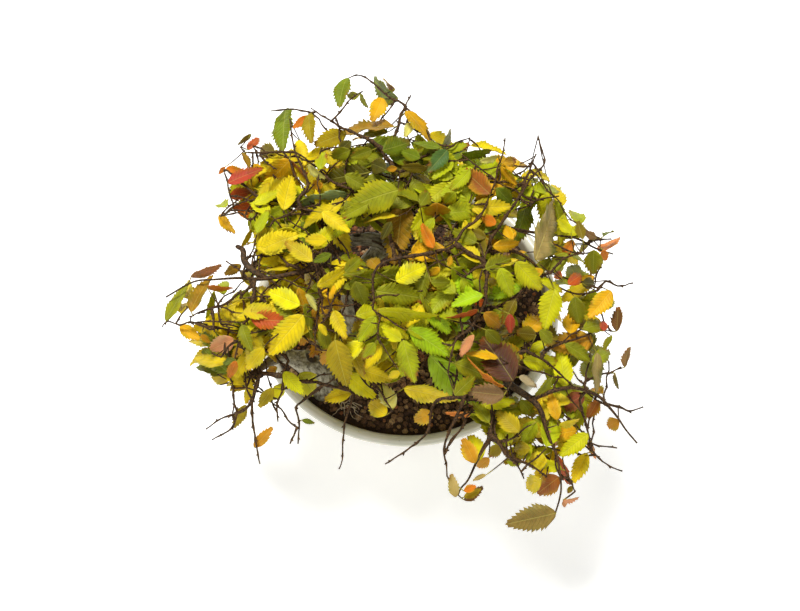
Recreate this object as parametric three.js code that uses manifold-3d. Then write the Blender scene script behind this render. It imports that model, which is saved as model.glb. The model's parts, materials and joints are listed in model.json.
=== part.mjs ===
// A japanese zelkova bonsai in a round glazed pot, in millimetres, +Z up, standing on z = 0.
// The origin is the centre of the pot's flat base, and the photograph looks along +Y, down at 61 degrees.
import * as THREE from 'three';
import { mergeVertices } from 'three/addons/utils/BufferGeometryUtils.js';
import Module from 'manifold-3d';

const wasm = await Module();
wasm.setup();

const GAP = 0.3;
const WELD = 0.0005;
const POT_RADIUS = 110;
const POT_HEIGHT = 78;
const POT_FOOT_RADIUS = 74;
const POT_FLOOR = 11;
const POT_SIDES = 32;
const LIP_WIDTH = 8;
const SOIL_LEVEL = 69;
const SOIL_MOUND = 5;
const SOIL_SLACK = 0.45;
const GRAIN_RELIEF = 1.1;
const DRAIN_RADIUS = 8;
const DRAIN_OFFSET = 42;
const DRAIN_COUNT = 2;
const NET_SIZE = 26;
const NET_THICKNESS = 1.2;
const NET_BAR = 2;
const NET_CELLS = 2;

const CANOPY = { top: 222, fall: 0.0022, x: -5, y: 5 };
const BLADE_THICKNESS = 0.62;
const LEAF_FOLD = 0.16;
const LEAF_ARCH = 0.16;
const LEAF_ROOM = 3.7;
const TIP_DROOP = 3;
const DEPTH_STEP = 2.5;
const DEPTH_TRIES = 26;
const TWIG_ROOM = 2.4;
const STALK_WIDTH = 0.7;
const THINNEST_TWIG = 1.1;
const SHORT_STALK = 12;
const FOOT_SCATTER = 0.4;
const SMALLEST_LEAF = 15.8;
const PENALTY = { limb: 10, twig: 0, stalk: 8 };
const FEWEST_IN_SPRAY = 4;
const FILLERS = { count: 36, reach: 150, depth: [10, 52], length: [17, 11] };
const SEED = 4107;

// Stations of a leaf with a cut edge: how far along the midrib, and the width there as a share.
const TOOTHED_EDGE = [[0.26, 0.92], [0.43, 0.7], [0.6, 0.92]];

// The photograph's camera, which turns a pixel of the 800 x 611 frame into a ray.
const SHOT = { target: [-5, -3, 78], distance: 800, elevation: 61, focal: 1111, u: 400, v: 305.5 };

// Limbs as [u, v, height, radius] points, read from the photograph.
const LIMBS = {
  trunk: [[362, 372, 52, 7], [362, 370, 70, 11], [359, 358, 86, 7.2], [352, 332, 108, 5.8],
    [347, 303, 134, 5.3], [356, 275, 152, 5.4], [374, 255, 163, 6.2], [388, 243, 170, 7.2]],
  lowTrunk: [[330, 392, 54, 7], [325, 388, 72, 9.5], [318, 372, 90, 8.6], [306, 363, 104, 8],
    [296, 359, 112, 6.6], [284, 356, 118, 5.4], [270, 362, 122, 4.3], [256, 371, 124, 3],
    [242, 379, 125, 1.7],
    [220, 385, 125, 0.8]],
  buriedRoot: [[362, 372, 56, 5], [346, 384, 54, 4.4], [330, 390, 58, 5]],
  rootRight: [[366, 372, 72, 7], [377, 374, 71, 4.6], [393, 381, 67, 2.6], [408, 390, 60, 1.2]],
  rootFront: [[358, 374, 70, 6], [352, 390, 70, 3.2], [346, 405, 66, 1.8], [344, 414, 60, 1]],
  rootBack: [[364, 362, 72, 6], [374, 350, 71, 3.6], [390, 340, 66, 1.8], [398, 336, 60, 1]],
  leftBough: [[388, 243, 170, 6.4], [365, 239, 178, 5.2], [345, 244, 184, 4.6], [335, 262, 187, 3.6],
    [320, 267, 188, 3], [300, 272, 188, 2.6], [262, 279, 186, 2.1], [240, 278, 183, 1.7],
    [215, 279.5, 178, 1.3], [193, 282, 172, 1.1], [166, 297, 160, 1]],
  upperLeft: [[347, 243, 184, 4.4], [335, 230, 190, 3.9], [322, 218, 195, 3.4], [312, 213, 197, 3],
    [299, 208, 197, 2.3], [284, 203, 195, 1.7], [258, 197, 188, 1.2]],
  mossyStub: [[266, 278, 186, 2.6], [252, 270, 189, 3.2], [244, 260, 191, 3], [243, 250, 192, 2.7],
    [236, 246, 192, 2.2]],
  backLimb: [[388, 243, 172, 5.4], [391, 222, 184, 4.2], [399, 195, 196, 3.3], [401, 172, 202, 2.5],
    [394, 158, 204, 2.1], [384, 150, 205, 1.7]],
  rightLimb: [[390, 245, 170, 6], [412, 262, 173, 5], [438, 285, 171, 4.6], [462, 318, 166, 4.3],
    [482, 350, 163, 3.8], [505, 380, 163, 3.5], [531, 399, 163, 3], [541, 411, 161, 2.6],
    [545, 425, 158, 2.1],
    [550, 440, 154, 1.7], [557, 456, 149, 1.4], [561, 483, 140, 1.1], [560, 497, 135, 1.1],
    [556, 511, 129, 1]],
  rimBough: [[482, 352, 162, 3.6], [491, 385, 161, 3.4], [492, 416, 159, 3.1], [490, 437, 155, 2.8],
    [483, 449, 151, 2], [476, 463, 147, 1.4], [468, 480, 142, 1.1], [461, 488, 139, 1], [458, 495, 137, 1]],
  eastLimb: [[400, 250, 175, 4.6], [437, 252, 190, 3.2], [466, 254, 198, 2.4], [497, 251, 198, 2],
    [516, 252, 196, 1.8], [531, 261, 193, 1.6], [543, 274, 189, 1.4], [557, 286, 185, 1.2],
    [577, 294, 179, 1.1],
    [597, 291, 175, 1]],
  northEast: [[399, 196, 196, 3], [430, 196, 200, 2.5], [462, 205, 199, 2.2], [490, 222, 197, 1.9],
    [520, 230, 192, 1.8], [545, 234, 187, 1.7], [575, 238, 181, 1.4], [595, 248, 176, 1.2],
    [613, 254, 171, 1]],
  eastLow: [[531, 399, 163, 2.6], [556, 390, 166, 2.2], [576, 388, 164, 2], [598, 396, 157, 1.8],
    [609, 407, 151, 1.5], [618, 418, 146, 1.2], [626, 430, 141, 1], [637, 443, 135, 1]],
};

// Twigs read from the photograph: [depth under the canopy's dome, first radius, then u, v pairs].
const TWIGS = [
  [22, 1.6, [332, 247], [320, 246], [302, 248]],
  [16, 1.2, [297, 267], [289, 265], [281, 257], [273, 246]],
  [22, 1.1, [325, 255], [313, 262], [306, 268]],
  [12, 1.3, [254, 281], [254, 293], [252, 303], [250, 317], [244, 323], [241, 332], [237, 348], [235, 358]],
  [12, 0.9, [238, 340], [228, 347], [221, 357], [212, 353]],
  [12, 0.8, [252, 286], [240, 298], [262, 296]],
  [10, 0.9, [240, 292], [227, 303], [203, 311], [191, 317], [190, 322]],
  [8, 0.8, [213, 329], [200, 325], [190, 322], [180, 325], [168, 321], [162, 327]],
  [12, 0.7, [218, 304], [221, 324], [233, 328]],
  [6, 0.9, [299, 208], [284, 217], [275, 219], [270, 227]],
  [8, 0.9, [262, 205], [254, 218], [247, 219], [240, 213], [221, 216]],
  [6, 0.8, [226, 170], [227, 180], [230, 196], [233, 204], [232, 209], [222, 216]],
  [8, 1, [298, 200], [306, 190], [308, 183], [299, 161], [295, 152], [291, 130], [290, 119]],
  [8, 0.8, [295, 152], [275, 152], [257, 153], [245, 152], [241, 147]],
  [8, 0.6, [257, 153], [253, 146]],
  [9, 0.6, [260, 156], [271, 166], [277, 169]],
  [10, 0.7, [243, 274], [238, 269], [226, 261]],
  [40, 1.5, [285, 356], [284, 372], [282, 392], [277, 403], [278, 422]],
  [38, 1.6, [262, 374], [258, 381], [255, 390], [252, 400], [247, 408], [237, 413], [221, 419], [206, 429]],
  [36, 1, [252, 400], [252, 413], [254, 431], [257, 449], [260, 464]],
  [36, 0.8, [237, 413], [232, 428], [212, 440]],
  [42, 1.4, [255, 371], [257, 363], [261, 352], [262, 342]],
  [40, 1, [250, 377], [246, 387], [231, 388]],
  [52, 1.2, [322, 384], [305, 399], [296, 408], [299, 422], [298, 444]],
  [50, 0.9, [297, 428], [290, 444]],
  [56, 1, [352, 392], [350, 405], [345, 422], [343, 440], [342, 460], [339, 469]],
  [30, 1.3, [438, 400], [428, 431], [411, 447], [385, 464]],
  [24, 1.5, [470, 385], [456, 418], [449, 432], [444, 449], [446, 463], [447, 476]],
  [22, 0.7, [466, 420], [449, 446]],
  [6, 1.2, [388, 160], [383, 150], [392, 140], [398, 128], [400, 117], [405, 106], [398, 101], [390, 98],
    [368, 79], [356, 75], [349, 78]],
  [6, 1.3, [383, 150], [375, 143], [365, 138], [350, 131], [340, 127], [330, 120], [319, 114], [311, 108]],
  [6, 0.7, [313, 113], [298, 110], [289, 109], [271, 111]],
  [4, 0.7, [331, 121], [340, 112], [347, 103], [352, 98], [363, 91]],
  [4, 0.6, [405, 106], [411, 95]],
  [4, 1, [436, 252], [452, 247], [459, 237], [465, 228], [478, 219], [486, 205], [490, 194], [495, 182],
    [498, 167], [502, 157], [504, 147], [505, 138]],
  [4, 0.6, [496, 180], [478, 167], [462, 155]],
  [5, 1.1, [490, 240], [497, 230], [508, 213], [514, 205], [523, 191], [530, 179], [542, 167], [545, 160],
    [540, 144], [538, 136]],
  [5, 0.6, [519, 197], [531, 167], [536, 154]],
  [6, 0.7, [530, 206], [535, 201], [559, 196]],
  [8, 1, [400, 172], [420, 158], [449, 148], [458, 142], [470, 138]],
  [5, 1.5, [470, 254], [486, 264], [486, 288], [485, 302], [476, 319], [469, 330], [457, 338], [451, 355],
    [448, 373]],
  [5, 1.1, [485, 265], [476, 268], [465, 276]],
  [4, 1.2, [384, 262], [373, 280], [374, 300], [373, 309], [380, 317], [378, 328], [378, 337]],
  [14, 1.2, [330, 282], [320, 292], [322, 298], [323, 313], [337, 319]],
  [16, 0.9, [320, 300], [317, 321], [315, 337], [316, 350]],
  [50, 1, [352, 362], [361, 377], [370, 387], [379, 392]],
  [48, 1, [358, 362], [366, 375], [380, 391], [392, 411]],
  [6, 1, [543, 274], [550, 273], [562, 260], [574, 255], [587, 253]],
  [10, 1, [590, 241], [598, 240], [611, 239]],
  [8, 0.8, [597, 291], [606, 281], [618, 286], [633, 283]],
  [8, 1.2, [520, 352], [538, 357], [552, 366], [562, 376], [575, 388]],
  [10, 1, [545, 350], [565, 342], [588, 335], [597, 330], [612, 331]],
  [12, 0.9, [585, 382], [603, 374], [612, 372], [621, 367]],
  [8, 0.9, [605, 404], [619, 407], [630, 411], [643, 407]],
  [10, 0.9, [580, 400], [587, 428], [590, 442], [595, 445], [617, 448]],
  [10, 0.7, [590, 446], [593, 452], [606, 464], [622, 471]],
  [7, 1.6, [491, 436], [500, 444], [509, 457], [528, 464], [547, 477]],
  [7, 0.7, [510, 458], [518, 466], [524, 479]],
  [7, 0.9, [490, 440], [509, 440], [528, 426]],
  [6, 0.8, [561, 478], [569, 478], [575, 492]],
  [24, 1.3, [420, 262], [440, 290], [436, 320], [430, 345], [420, 370]],
  [14, 1.2, [388, 232], [370, 215], [352, 190], [345, 170], [350, 150]],
  [12, 1, [352, 190], [330, 180], [318, 165], [322, 148]],
  [16, 1.2, [430, 200], [440, 180], [446, 165], [430, 145]],
  [18, 1.2, [460, 210], [455, 232], [440, 240], [425, 232]],
  [20, 1.2, [400, 252], [398, 275], [396, 300], [402, 325]],
  [22, 1.1, [340, 268], [348, 285], [345, 305], [336, 325]],
];

// Leaves read from the photograph, front ones first: base u, v, tip u, v, seen width, tint.
const LEAVES = {
  centre: { depth: 0, rows: [
    [430, 355, 479, 413, 28, 'brightlime'], [513, 381, 482, 333, 36, 'brown'],
    [403, 201, 396, 265, 28, 'ochre'],
    [396, 281, 428, 262, 22, 'lemon'], [379, 310, 440, 318, 18, 'limeyellow'],
    [376, 291, 428, 298, 24, 'olive'],
    [410, 329, 450, 355, 24, 'brightlime'], [403, 340, 414, 384, 22, 'lime'],
    [483, 295, 450, 303, 14, 'brightlime'],
    [401, 187, 441, 187, 34, 'limeyellow'], [437, 203, 437, 225, 27, 'amber'],
    [456, 335, 431, 329, 18, 'umber'],
    [484, 313, 504, 328, 17, 'amber'], [510, 314, 510, 334, 11, 'red'], [500, 268, 513, 297, 18, 'lime'],
    [516, 262, 541, 292, 22, 'limeyellow'], [474, 335, 458, 355, 9, 'peach'],
    [536, 335, 515, 332, 17, 'umber'],
    [402, 340, 382, 328, 15, 'limeyellow'], [376, 316, 357, 342, 16, 'lime'],
    [376, 310, 400, 323, 14, 'yellow'],
    [398, 190, 345, 205, 34, 'olive'], [368, 204, 341, 218, 14, 'olive'],
    [322, 212, 350, 232, 16, 'yellow'],
    [317, 286, 348, 271, 14, 'yellow'], [350, 282, 400, 275, 18, 'olive'],
    [350, 282, 347, 298, 19, 'darkolive'],
    [355, 282, 366, 307, 20, 'olive'], [431, 282, 452, 283, 13, 'olive'],
    [434, 248, 419, 222, 14, 'orange'],
    [450, 253, 448, 220, 9, 'yellow'], [448, 266, 452, 255, 6, 'golden'], [486, 238, 467, 229, 12, 'umber'],
    [496, 224, 480, 216, 13, 'orange'], [512, 241, 503, 224, 12, 'golden'],
    [345, 272, 361, 257, 14, 'olive'],
    [379, 269, 368, 255, 15, 'ochre'], [394, 182, 381, 216, 13, 'olive'],
    [391, 222, 382, 240, 11, 'darkolive'],
    [327, 240, 303, 240, 14, 'yellow'], [331, 254, 313, 262, 10, 'green'],
    [380, 275, 425, 275, 16, 'olive'],
    [478, 310, 447, 321, 8, 'rust'], [486, 303, 473, 302, 9, 'rust'], [522, 360, 506, 344, 12, 'golden'],
    [504, 387, 463, 364, 7, 'orange'], [504, 395, 468, 392, 22, 'taupe'],
    [543, 270, 528, 276, 10, 'golden'],
    [486, 330, 500, 345, 14, 'olive'], [470, 350, 485, 372, 16, 'olive'], [452, 268, 470, 283, 20, 'lime'],
    [455, 262, 482, 262, 14, 'olive'], [440, 268, 428, 276, 10, 'golden'], [447, 350, 426, 338, 14, 'lime'],
    [455, 395, 475, 375, 16, 'olive'], [380, 322, 385, 339, 8, 'limeyellow'],
    [400, 372, 388, 378, 9, 'yellow'],
  ] },
  low: { depth: 52, rows: [
    [346, 374, 376, 398, 20, 'lemon'], [352, 392, 322, 398, 16, 'yellow'],
    [386, 415, 367, 398, 20, 'yellow'],
    [394, 408, 380, 382, 18, 'paleyellow'], [404, 388, 459, 402, 20, 'yellow'],
    [433, 414, 410, 420, 17, 'golden'],
    [474, 413, 445, 414, 7, 'orange'], [355, 360, 366, 377, 13, 'amber'], [302, 420, 315, 423, 6, 'green'],
  ] },
  left: { depth: 8, rows: [
    [287, 227, 286, 263, 38, 'lemon'], [303, 315, 268, 357, 28, 'yellow'],
    [300, 305, 264, 290, 22, 'lemon'],
    [166, 321, 187, 281, 13, 'olive'], [191, 312, 207, 271, 16, 'ochre'], [191, 277, 223, 267, 9, 'peach'],
    [207, 287, 232, 291, 8, 'orange'], [214, 291, 209, 320, 6, 'lime'], [250, 310, 223, 303, 20, 'yellow'],
    [251, 319, 289, 321, 20, 'rust'], [180, 326, 199, 340, 14, 'golden'], [234, 339, 207, 352, 20, 'peach'],
    [228, 362, 191, 358, 18, 'yellow'], [236, 361, 228, 379, 11, 'orange'],
    [243, 344, 232, 360, 10, 'golden'],
    [258, 348, 244, 364, 18, 'yellow'], [272, 326, 251, 336, 10, 'olive'],
    [219, 215, 233, 234, 12, 'golden'],
    [251, 229, 243, 249, 5, 'yellow'], [264, 225, 255, 247, 14, 'yellow'],
    [241, 265, 223, 275, 11, 'ochre'],
    [293, 268, 250, 262, 12, 'yellow'], [308, 298, 262, 284, 20, 'yellow'],
    [335, 340, 345, 388, 28, 'mustard'],
    [336, 350, 318, 365, 17, 'amber'], [320, 292, 292, 258, 12, 'yellow'],
    [322, 293, 341, 308, 18, 'golden'],
    [305, 304, 315, 337, 10, 'olive'], [319, 324, 327, 336, 8, 'yellow'], [375, 343, 362, 360, 13, 'lime'],
    [229, 345, 214, 344, 8, 'green'], [194, 325, 203, 333, 7, 'yellow'], [201, 335, 210, 343, 8, 'amber'],
    [235, 359, 222, 364, 8, 'green'], [286, 207, 266, 218, 13, 'lime'],
    [306, 294, 317, 311, 7, 'paleyellow'],
  ] },
  foot: { depth: 36, rows: [
    [277, 367, 266, 374, 9, 'amber'], [250, 380, 246, 405, 9, 'yellow'],
    [273, 388, 258, 409, 13, 'mustard'],
    [284, 384, 270, 402, 14, 'lemon'], [300, 373, 316, 397, 26, 'limeyellow'],
    [246, 405, 232, 429, 13, 'mustard'],
    [254, 447, 273, 428, 12, 'amber'], [284, 372, 302, 395, 16, 'limeyellow'],
  ] },
  upperLeft: { depth: 4, rows: [
    [347, 193, 292, 209, 20, 'greygreen'], [228, 183, 262, 167, 15, 'red'],
    [230, 196, 252, 192, 14, 'rust'],
    [233, 209, 256, 204, 9, 'rust'], [238, 211, 256, 216, 11, 'orange'], [290, 160, 264, 185, 24, 'golden'],
    [284, 158, 310, 182, 12, 'peach'], [299, 140, 303, 164, 14, 'yellow'],
    [286, 109, 280, 149, 17, 'green'],
    [309, 116, 293, 129, 10, 'orange'], [309, 114, 309, 140, 14, 'mustard'],
    [346, 133, 313, 145, 20, 'mustard'],
    [308, 165, 323, 180, 8, 'paleyellow'], [323, 185, 309, 186, 12, 'amber'],
    [251, 134, 238, 146, 6, 'umber'],
    [249, 150, 257, 136, 8, 'rust'], [243, 153, 250, 167, 6, 'ochre'], [226, 169, 242, 171, 9, 'orange'],
    [225, 167, 218, 174, 5, 'orange'], [254, 204, 282, 190, 13, 'limeyellow'],
    [268, 196, 286, 176, 14, 'yellow'],
  ] },
  top: { depth: 0, rows: [
    [370, 172, 318, 180, 23, 'darkolive'], [383, 150, 414, 142, 22, 'green'],
    [398, 98, 366, 82, 16, 'green'],
    [347, 78, 335, 102, 12, 'green'], [382, 98, 374, 120, 18, 'golden'], [406, 111, 435, 138, 15, 'golden'],
    [394, 127, 335, 123, 9, 'ochre'], [386, 170, 368, 160, 18, 'darkolive'], [359, 95, 346, 97, 9, 'olive'],
    [360, 94, 366, 108, 5, 'olive'], [411, 123, 405, 136, 10, 'paleyellow'],
    [388, 132, 362, 133, 9, 'olive'],
    [440, 148, 413, 141, 10, 'green'], [447, 150, 429, 172, 17, 'bluegreen'],
    [441, 148, 457, 132, 11, 'olive'],
    [428, 168, 401, 167, 9, 'umber'], [455, 192, 443, 206, 14, 'lime'], [453, 207, 479, 204, 30, 'lime'],
    [490, 194, 461, 168, 22, 'rustbrown'], [461, 153, 493, 152, 7, 'green'],
    [462, 153, 476, 168, 12, 'green'],
    [498, 156, 481, 163, 6, 'paleyellow'], [502, 163, 517, 160, 11, 'golden'],
    [501, 166, 514, 187, 7, 'golden'],
    [500, 168, 513, 194, 20, 'lime'], [497, 188, 513, 206, 16, 'green'], [470, 170, 453, 190, 14, 'lime'],
    [456, 174, 434, 190, 18, 'lime'], [395, 89, 381, 81, 9, 'amber'], [350, 150, 330, 160, 16, 'olive'],
    [372, 150, 350, 158, 14, 'olive'], [420, 158, 400, 150, 14, 'green'], [345, 175, 372, 190, 16, 'olive'],
    [420, 205, 432, 190, 14, 'olive'], [397, 168, 386, 170, 7, 'amber'],
    [340, 150, 352, 140, 12, 'darkolive'],
  ] },
  right: { depth: 2, rows: [
    [535, 259, 560, 197, 30, 'tan'], [593, 340, 548, 346, 27, 'amber'], [611, 291, 590, 318, 20, 'golden'],
    [594, 250, 592, 276, 20, 'olive'], [555, 289, 543, 329, 24, 'limeyellow'],
    [575, 297, 578, 326, 19, 'olive'],
    [584, 395, 557, 409, 20, 'dustyred'], [597, 353, 598, 394, 13, 'tan'],
    [617, 331, 618, 305, 12, 'brown'],
    [537, 186, 520, 210, 16, 'lime'], [527, 200, 518, 246, 15, 'green'], [583, 239, 577, 220, 11, 'umber'],
    [596, 238, 584, 232, 9, 'taupe'], [600, 252, 620, 235, 14, 'orange'], [603, 250, 606, 262, 9, 'orange'],
    [573, 240, 562, 259, 11, 'orange'], [571, 233, 558, 218, 12, 'limeyellow'],
    [568, 284, 583, 274, 13, 'rust'],
    [562, 278, 553, 272, 10, 'rust'], [582, 283, 596, 284, 13, 'darkolive'], [604, 331, 604, 319, 9, 'red'],
    [625, 367, 627, 345, 8, 'taupe'], [519, 377, 540, 385, 10, 'cream'],
    [523, 360, 560, 365, 20, 'limeyellow'],
    [545, 365, 572, 390, 22, 'lime'], [557, 420, 551, 392, 14, 'golden'],
    [598, 400, 588, 420, 14, 'rustbrown'],
    [619, 421, 605, 428, 15, 'amber'], [560, 424, 582, 421, 9, 'yellow'],
    [519, 432, 497, 410, 20, 'mustard'],
    [588, 242, 580, 253, 6, 'paleyellow'], [612, 336, 602, 349, 6, 'olive'], [615, 373, 616, 390, 4, 'tan'],
    [604, 236, 612, 229, 5, 'green'], [540, 330, 555, 345, 14, 'olive'], [590, 330, 575, 318, 12, 'tan'],
    [548, 258, 552, 236, 12, 'olive'], [508, 262, 528, 250, 12, 'olive'],
  ] },
  lowerRight: { depth: 4, rows: [
    [556, 513, 507, 524, 27, 'tanolive'], [475, 463, 463, 438, 17, 'amber'],
    [480, 460, 470, 433, 22, 'lemon'],
    [559, 477, 535, 495, 22, 'rustbrown'], [558, 456, 566, 488, 12, 'rust'],
    [587, 453, 572, 484, 17, 'yellow'],
    [547, 463, 524, 457, 20, 'yellow'], [541, 480, 522, 489, 20, 'yellow'],
    [489, 458, 477, 469, 12, 'amber'],
    [502, 445, 488, 457, 13, 'mustard'], [456, 497, 450, 474, 12, 'tan'], [464, 491, 477, 486, 9, 'orange'],
    [464, 497, 482, 490, 9, 'mustard'], [464, 500, 485, 488, 10, 'brown'], [486, 475, 472, 479, 5, 'tan'],
    [530, 448, 511, 450, 16, 'mustard'], [512, 428, 494, 450, 20, 'limeyellow'],
    [536, 422, 520, 443, 18, 'lime'],
    [552, 450, 531, 452, 9, 'limeyellow'], [588, 434, 560, 455, 18, 'limeyellow'],
    [585, 400, 566, 438, 20, 'lime'],
    [572, 486, 568, 494, 6, 'mustard'], [563, 500, 580, 500, 4, 'peach'], [564, 500, 565, 508, 5, 'peach'],
    [590, 440, 594, 460, 8, 'peach'], [507, 460, 522, 466, 8, 'lime'], [545, 430, 556, 448, 12, 'peach'],
    [520, 400, 536, 418, 14, 'olive'], [505, 408, 520, 395, 14, 'olive'],
  ] },
};

// Where the photograph shows nothing but the backdrop, the rim or the soil, as [u, v, radius].
const OPEN_SPOTS = [
  [530, 305, 16], [530, 232, 14], [487, 202, 10], [258, 400, 14], [400, 425, 44], [350, 425, 36],
  [455, 440, 30],
  [425, 372, 20], [296, 420, 30], [576, 250, 10], [586, 372, 10], [232, 250, 12], [210, 300, 14],
];
// The crown's outline in the photograph, as four quarter ellipses.
const CROWN_OUTLINE = { u: 402, v: 262, right: 196, left: 176, up: 128, down: 128 };

const vec = (x, y, z) => new THREE.Vector3(x, y, z);

function seededRandom(seed) {
  let state = seed >>> 0;
  return () => {
    state = (state + 0x6d2b79f5) >>> 0;
    let t = state;
    t = Math.imul(t ^ (t >>> 15), t | 1);
    t ^= t + Math.imul(t ^ (t >>> 7), t | 61);
    return ((t ^ (t >>> 14)) >>> 0) / 4294967296;
  };
}

const tilt = THREE.MathUtils.degToRad(SHOT.elevation);
const LOOK = vec(0, Math.cos(tilt), -Math.sin(tilt));
const LOOK_UP = vec(0, Math.sin(tilt), Math.cos(tilt));
const EYE = vec(...SHOT.target).addScaledVector(LOOK, -SHOT.distance);

function rayThrough(u, v) {
  return LOOK.clone()
    .add(vec((u - SHOT.u) / SHOT.focal, 0, 0))
    .addScaledVector(LOOK_UP, (SHOT.v - v) / SHOT.focal);
}

// The point seen at a pixel, at a height above the ground.
function seen(u, v, height) {
  const ray = rayThrough(u, v);
  return EYE.clone().addScaledVector(ray, (height - EYE.z) / ray.z);
}

// The point seen at a pixel, so far under the dome that the leaves lie along.
function underDome(u, v, depth) {
  const ray = rayThrough(u, v);
  const x = EYE.x - CANOPY.x;
  const y = EYE.y - CANOPY.y;
  const a = CANOPY.fall * (ray.x * ray.x + ray.y * ray.y);
  const b = ray.z + 2 * CANOPY.fall * (x * ray.x + y * ray.y);
  const c = EYE.z - CANOPY.top + depth + CANOPY.fall * (x * x + y * y);
  const root = Math.sqrt(Math.max(b * b - 4 * a * c, 0));
  return EYE.clone().addScaledVector(ray, (-b - root) / (2 * a));
}

function pixelOf(point) {
  const from = point.clone().sub(EYE);
  const far = from.dot(LOOK);
  return [SHOT.u + (SHOT.focal * from.x) / far, SHOT.v - (SHOT.focal * from.dot(LOOK_UP)) / far];
}

function toSolid(geometry) {
  const bare = geometry.clone();
  bare.deleteAttribute('normal');
  bare.deleteAttribute('uv');
  const merged = mergeVertices(bare, 1e-4);
  return new wasm.Manifold(new wasm.Mesh({
    numProp: 3,
    vertProperties: Float32Array.from(merged.attributes.position.array),
    triVerts: Uint32Array.from(merged.index.array),
  }));
}

// The solid as a geometry, with corners that lie closer than WELD made one.
function toGeometry(solid) {
  const mesh = solid.getMesh();
  const geometry = new THREE.BufferGeometry();
  geometry.setAttribute('position', new THREE.BufferAttribute(new Float32Array(mesh.vertProperties), 3));
  geometry.setIndex(Array.from(mesh.triVerts));
  const welded = mergeVertices(geometry, WELD);
  const corners = Array.from(welded.index.array);
  const kept = [];
  for (let i = 0; i < corners.length; i += 3) {
    const [a, b, c] = corners.slice(i, i + 3);
    if (a !== b && b !== c && c !== a) {
      kept.push(a, b, c);
    }
  }
  welded.setIndex(kept);
  welded.computeVertexNormals();
  return welded;
}

function geometryOf(points, triangles) {
  const geometry = new THREE.BufferGeometry().setFromPoints(points);
  geometry.setIndex(triangles);
  return geometry;
}

// A tapered tube through the points, with both ends closed.
function tube(points, radii, sides) {
  const ring = [];
  const triangles = [];
  let across = null;
  points.forEach((point, i) => {
    const before = points[Math.max(i - 1, 0)];
    const after = points[Math.min(i + 1, points.length - 1)];
    const along = after.clone().sub(before).normalize();
    const start = across ?? (Math.abs(along.z) < 0.9 ? vec(0, 0, 1) : vec(1, 0, 0));
    across = start.clone().addScaledVector(along, -start.dot(along)).normalize();
    const side = along.clone().cross(across);
    for (let k = 0; k < sides; k++) {
      const turn = (2 * Math.PI * k) / sides;
      ring.push(point.clone()
        .addScaledVector(across, radii[i] * Math.cos(turn))
        .addScaledVector(side, radii[i] * Math.sin(turn)));
    }
  });
  for (let i = 0; i + 1 < points.length; i++) {
    for (let k = 0; k < sides; k++) {
      const a = i * sides + k;
      const b = i * sides + ((k + 1) % sides);
      triangles.push(a, b, b + sides, a, b + sides, a + sides);
    }
  }
  const last = (points.length - 1) * sides;
  for (let k = 1; k + 1 < sides; k++) {
    triangles.push(0, k + 1, k, last, last + k, last + k + 1);
  }
  return geometryOf(ring, triangles);
}

function taper(from, to, count) {
  return Array.from({ length: count }, (_, i) => from + ((to - from) * i) / (count - 1));
}

// Everything that leaves hang on, as segments with the strand they belong to.
const strands = [];
const segments = [];

function addStrand(kind, points, radii, parent) {
  const strand = { kind, points, radii, parent, leaves: 0 };
  strands.push(strand);
  for (let i = 0; i + 1 < points.length; i++) {
    segments.push({ a: points[i], b: points[i + 1], strand });
  }
  return strand;
}

function nearestOn(segment, point) {
  const along = segment.b.clone().sub(segment.a);
  const share = THREE.MathUtils.clamp(point.clone().sub(segment.a).dot(along) / along.lengthSq(), 0, 1);
  return segment.a.clone().addScaledVector(along, share);
}

for (const [name, rows] of Object.entries(LIMBS)) {
  const strand = addStrand('limb', rows.map(([u, v, z]) => seen(u, v, z)), rows.map((row) => row[3]), null);
  strand.name = name;
}

function growTwig([depth, radius, ...pixels]) {
  const path = pixels.map(([u, v]) => underDome(u, v, depth));
  let best = null;
  for (const segment of segments) {
    const foot = nearestOn(segment, path[0]);
    const far = foot.distanceTo(path[0]);
    if (!best || far < best.far) {
      best = { far, foot, segment };
    }
  }
  const points = best.far < 1 ? [best.foot, ...path.slice(1)] : [best.foot, ...path];
  const thick = Math.max(radius, THINNEST_TWIG);
  addStrand('twig', points, taper(thick, THINNEST_TWIG, points.length), best.segment.strand);
}

TWIGS.forEach(growTwig);

// The points that leaves keep clear of, with the room that each one takes.
const taken = [];

function takeStrand(strand) {
  for (let i = 0; i + 1 < strand.points.length; i++) {
    const steps = Math.max(1, Math.round(strand.points[i].distanceTo(strand.points[i + 1]) / 4));
    for (let k = 0; k <= steps; k++) {
      const at = strand.points[i].clone().lerp(strand.points[i + 1], k / steps);
      taken.push({ at, room: TWIG_ROOM + strand.radii[i], leaf: null });
    }
  }
}

strands.forEach(takeStrand);

// A leaf's own frame: base, midrib direction, side and the face's normal.
function leafFrame(base, tip, seenWidth, draw) {
  const reach = base.distanceTo(tip);
  const scale = base.clone().sub(EYE).dot(LOOK) / SHOT.focal;
  let width = seenWidth * scale;
  const end = tip.clone();
  const away = base.clone().sub(EYE).normalize();
  let roll = 0.15 * (draw() - 0.5);
  const turned = draw() < 0.5 ? -1 : 1;
  if (width > 0.62 * reach) {
    const length = width / 0.6;
    end.addScaledVector(away, Math.sqrt(length * length - reach * reach));
  } else if (width < 0.42 * reach) {
    const full = 0.46 * reach;
    roll = turned * Math.acos(width / full);
    width = full;
  }
  const rib = end.clone().sub(base);
  const length = rib.length();
  rib.normalize();
  const face = away.negate();
  face.addScaledVector(rib, -face.dot(rib)).normalize().applyAxisAngle(rib, roll);
  return { base, rib, side: rib.clone().cross(face), face, length, width,
    fold: LEAF_FOLD * (0.6 + 0.8 * draw()), arch: LEAF_ARCH * (0.3 + draw()) };
}

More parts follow.
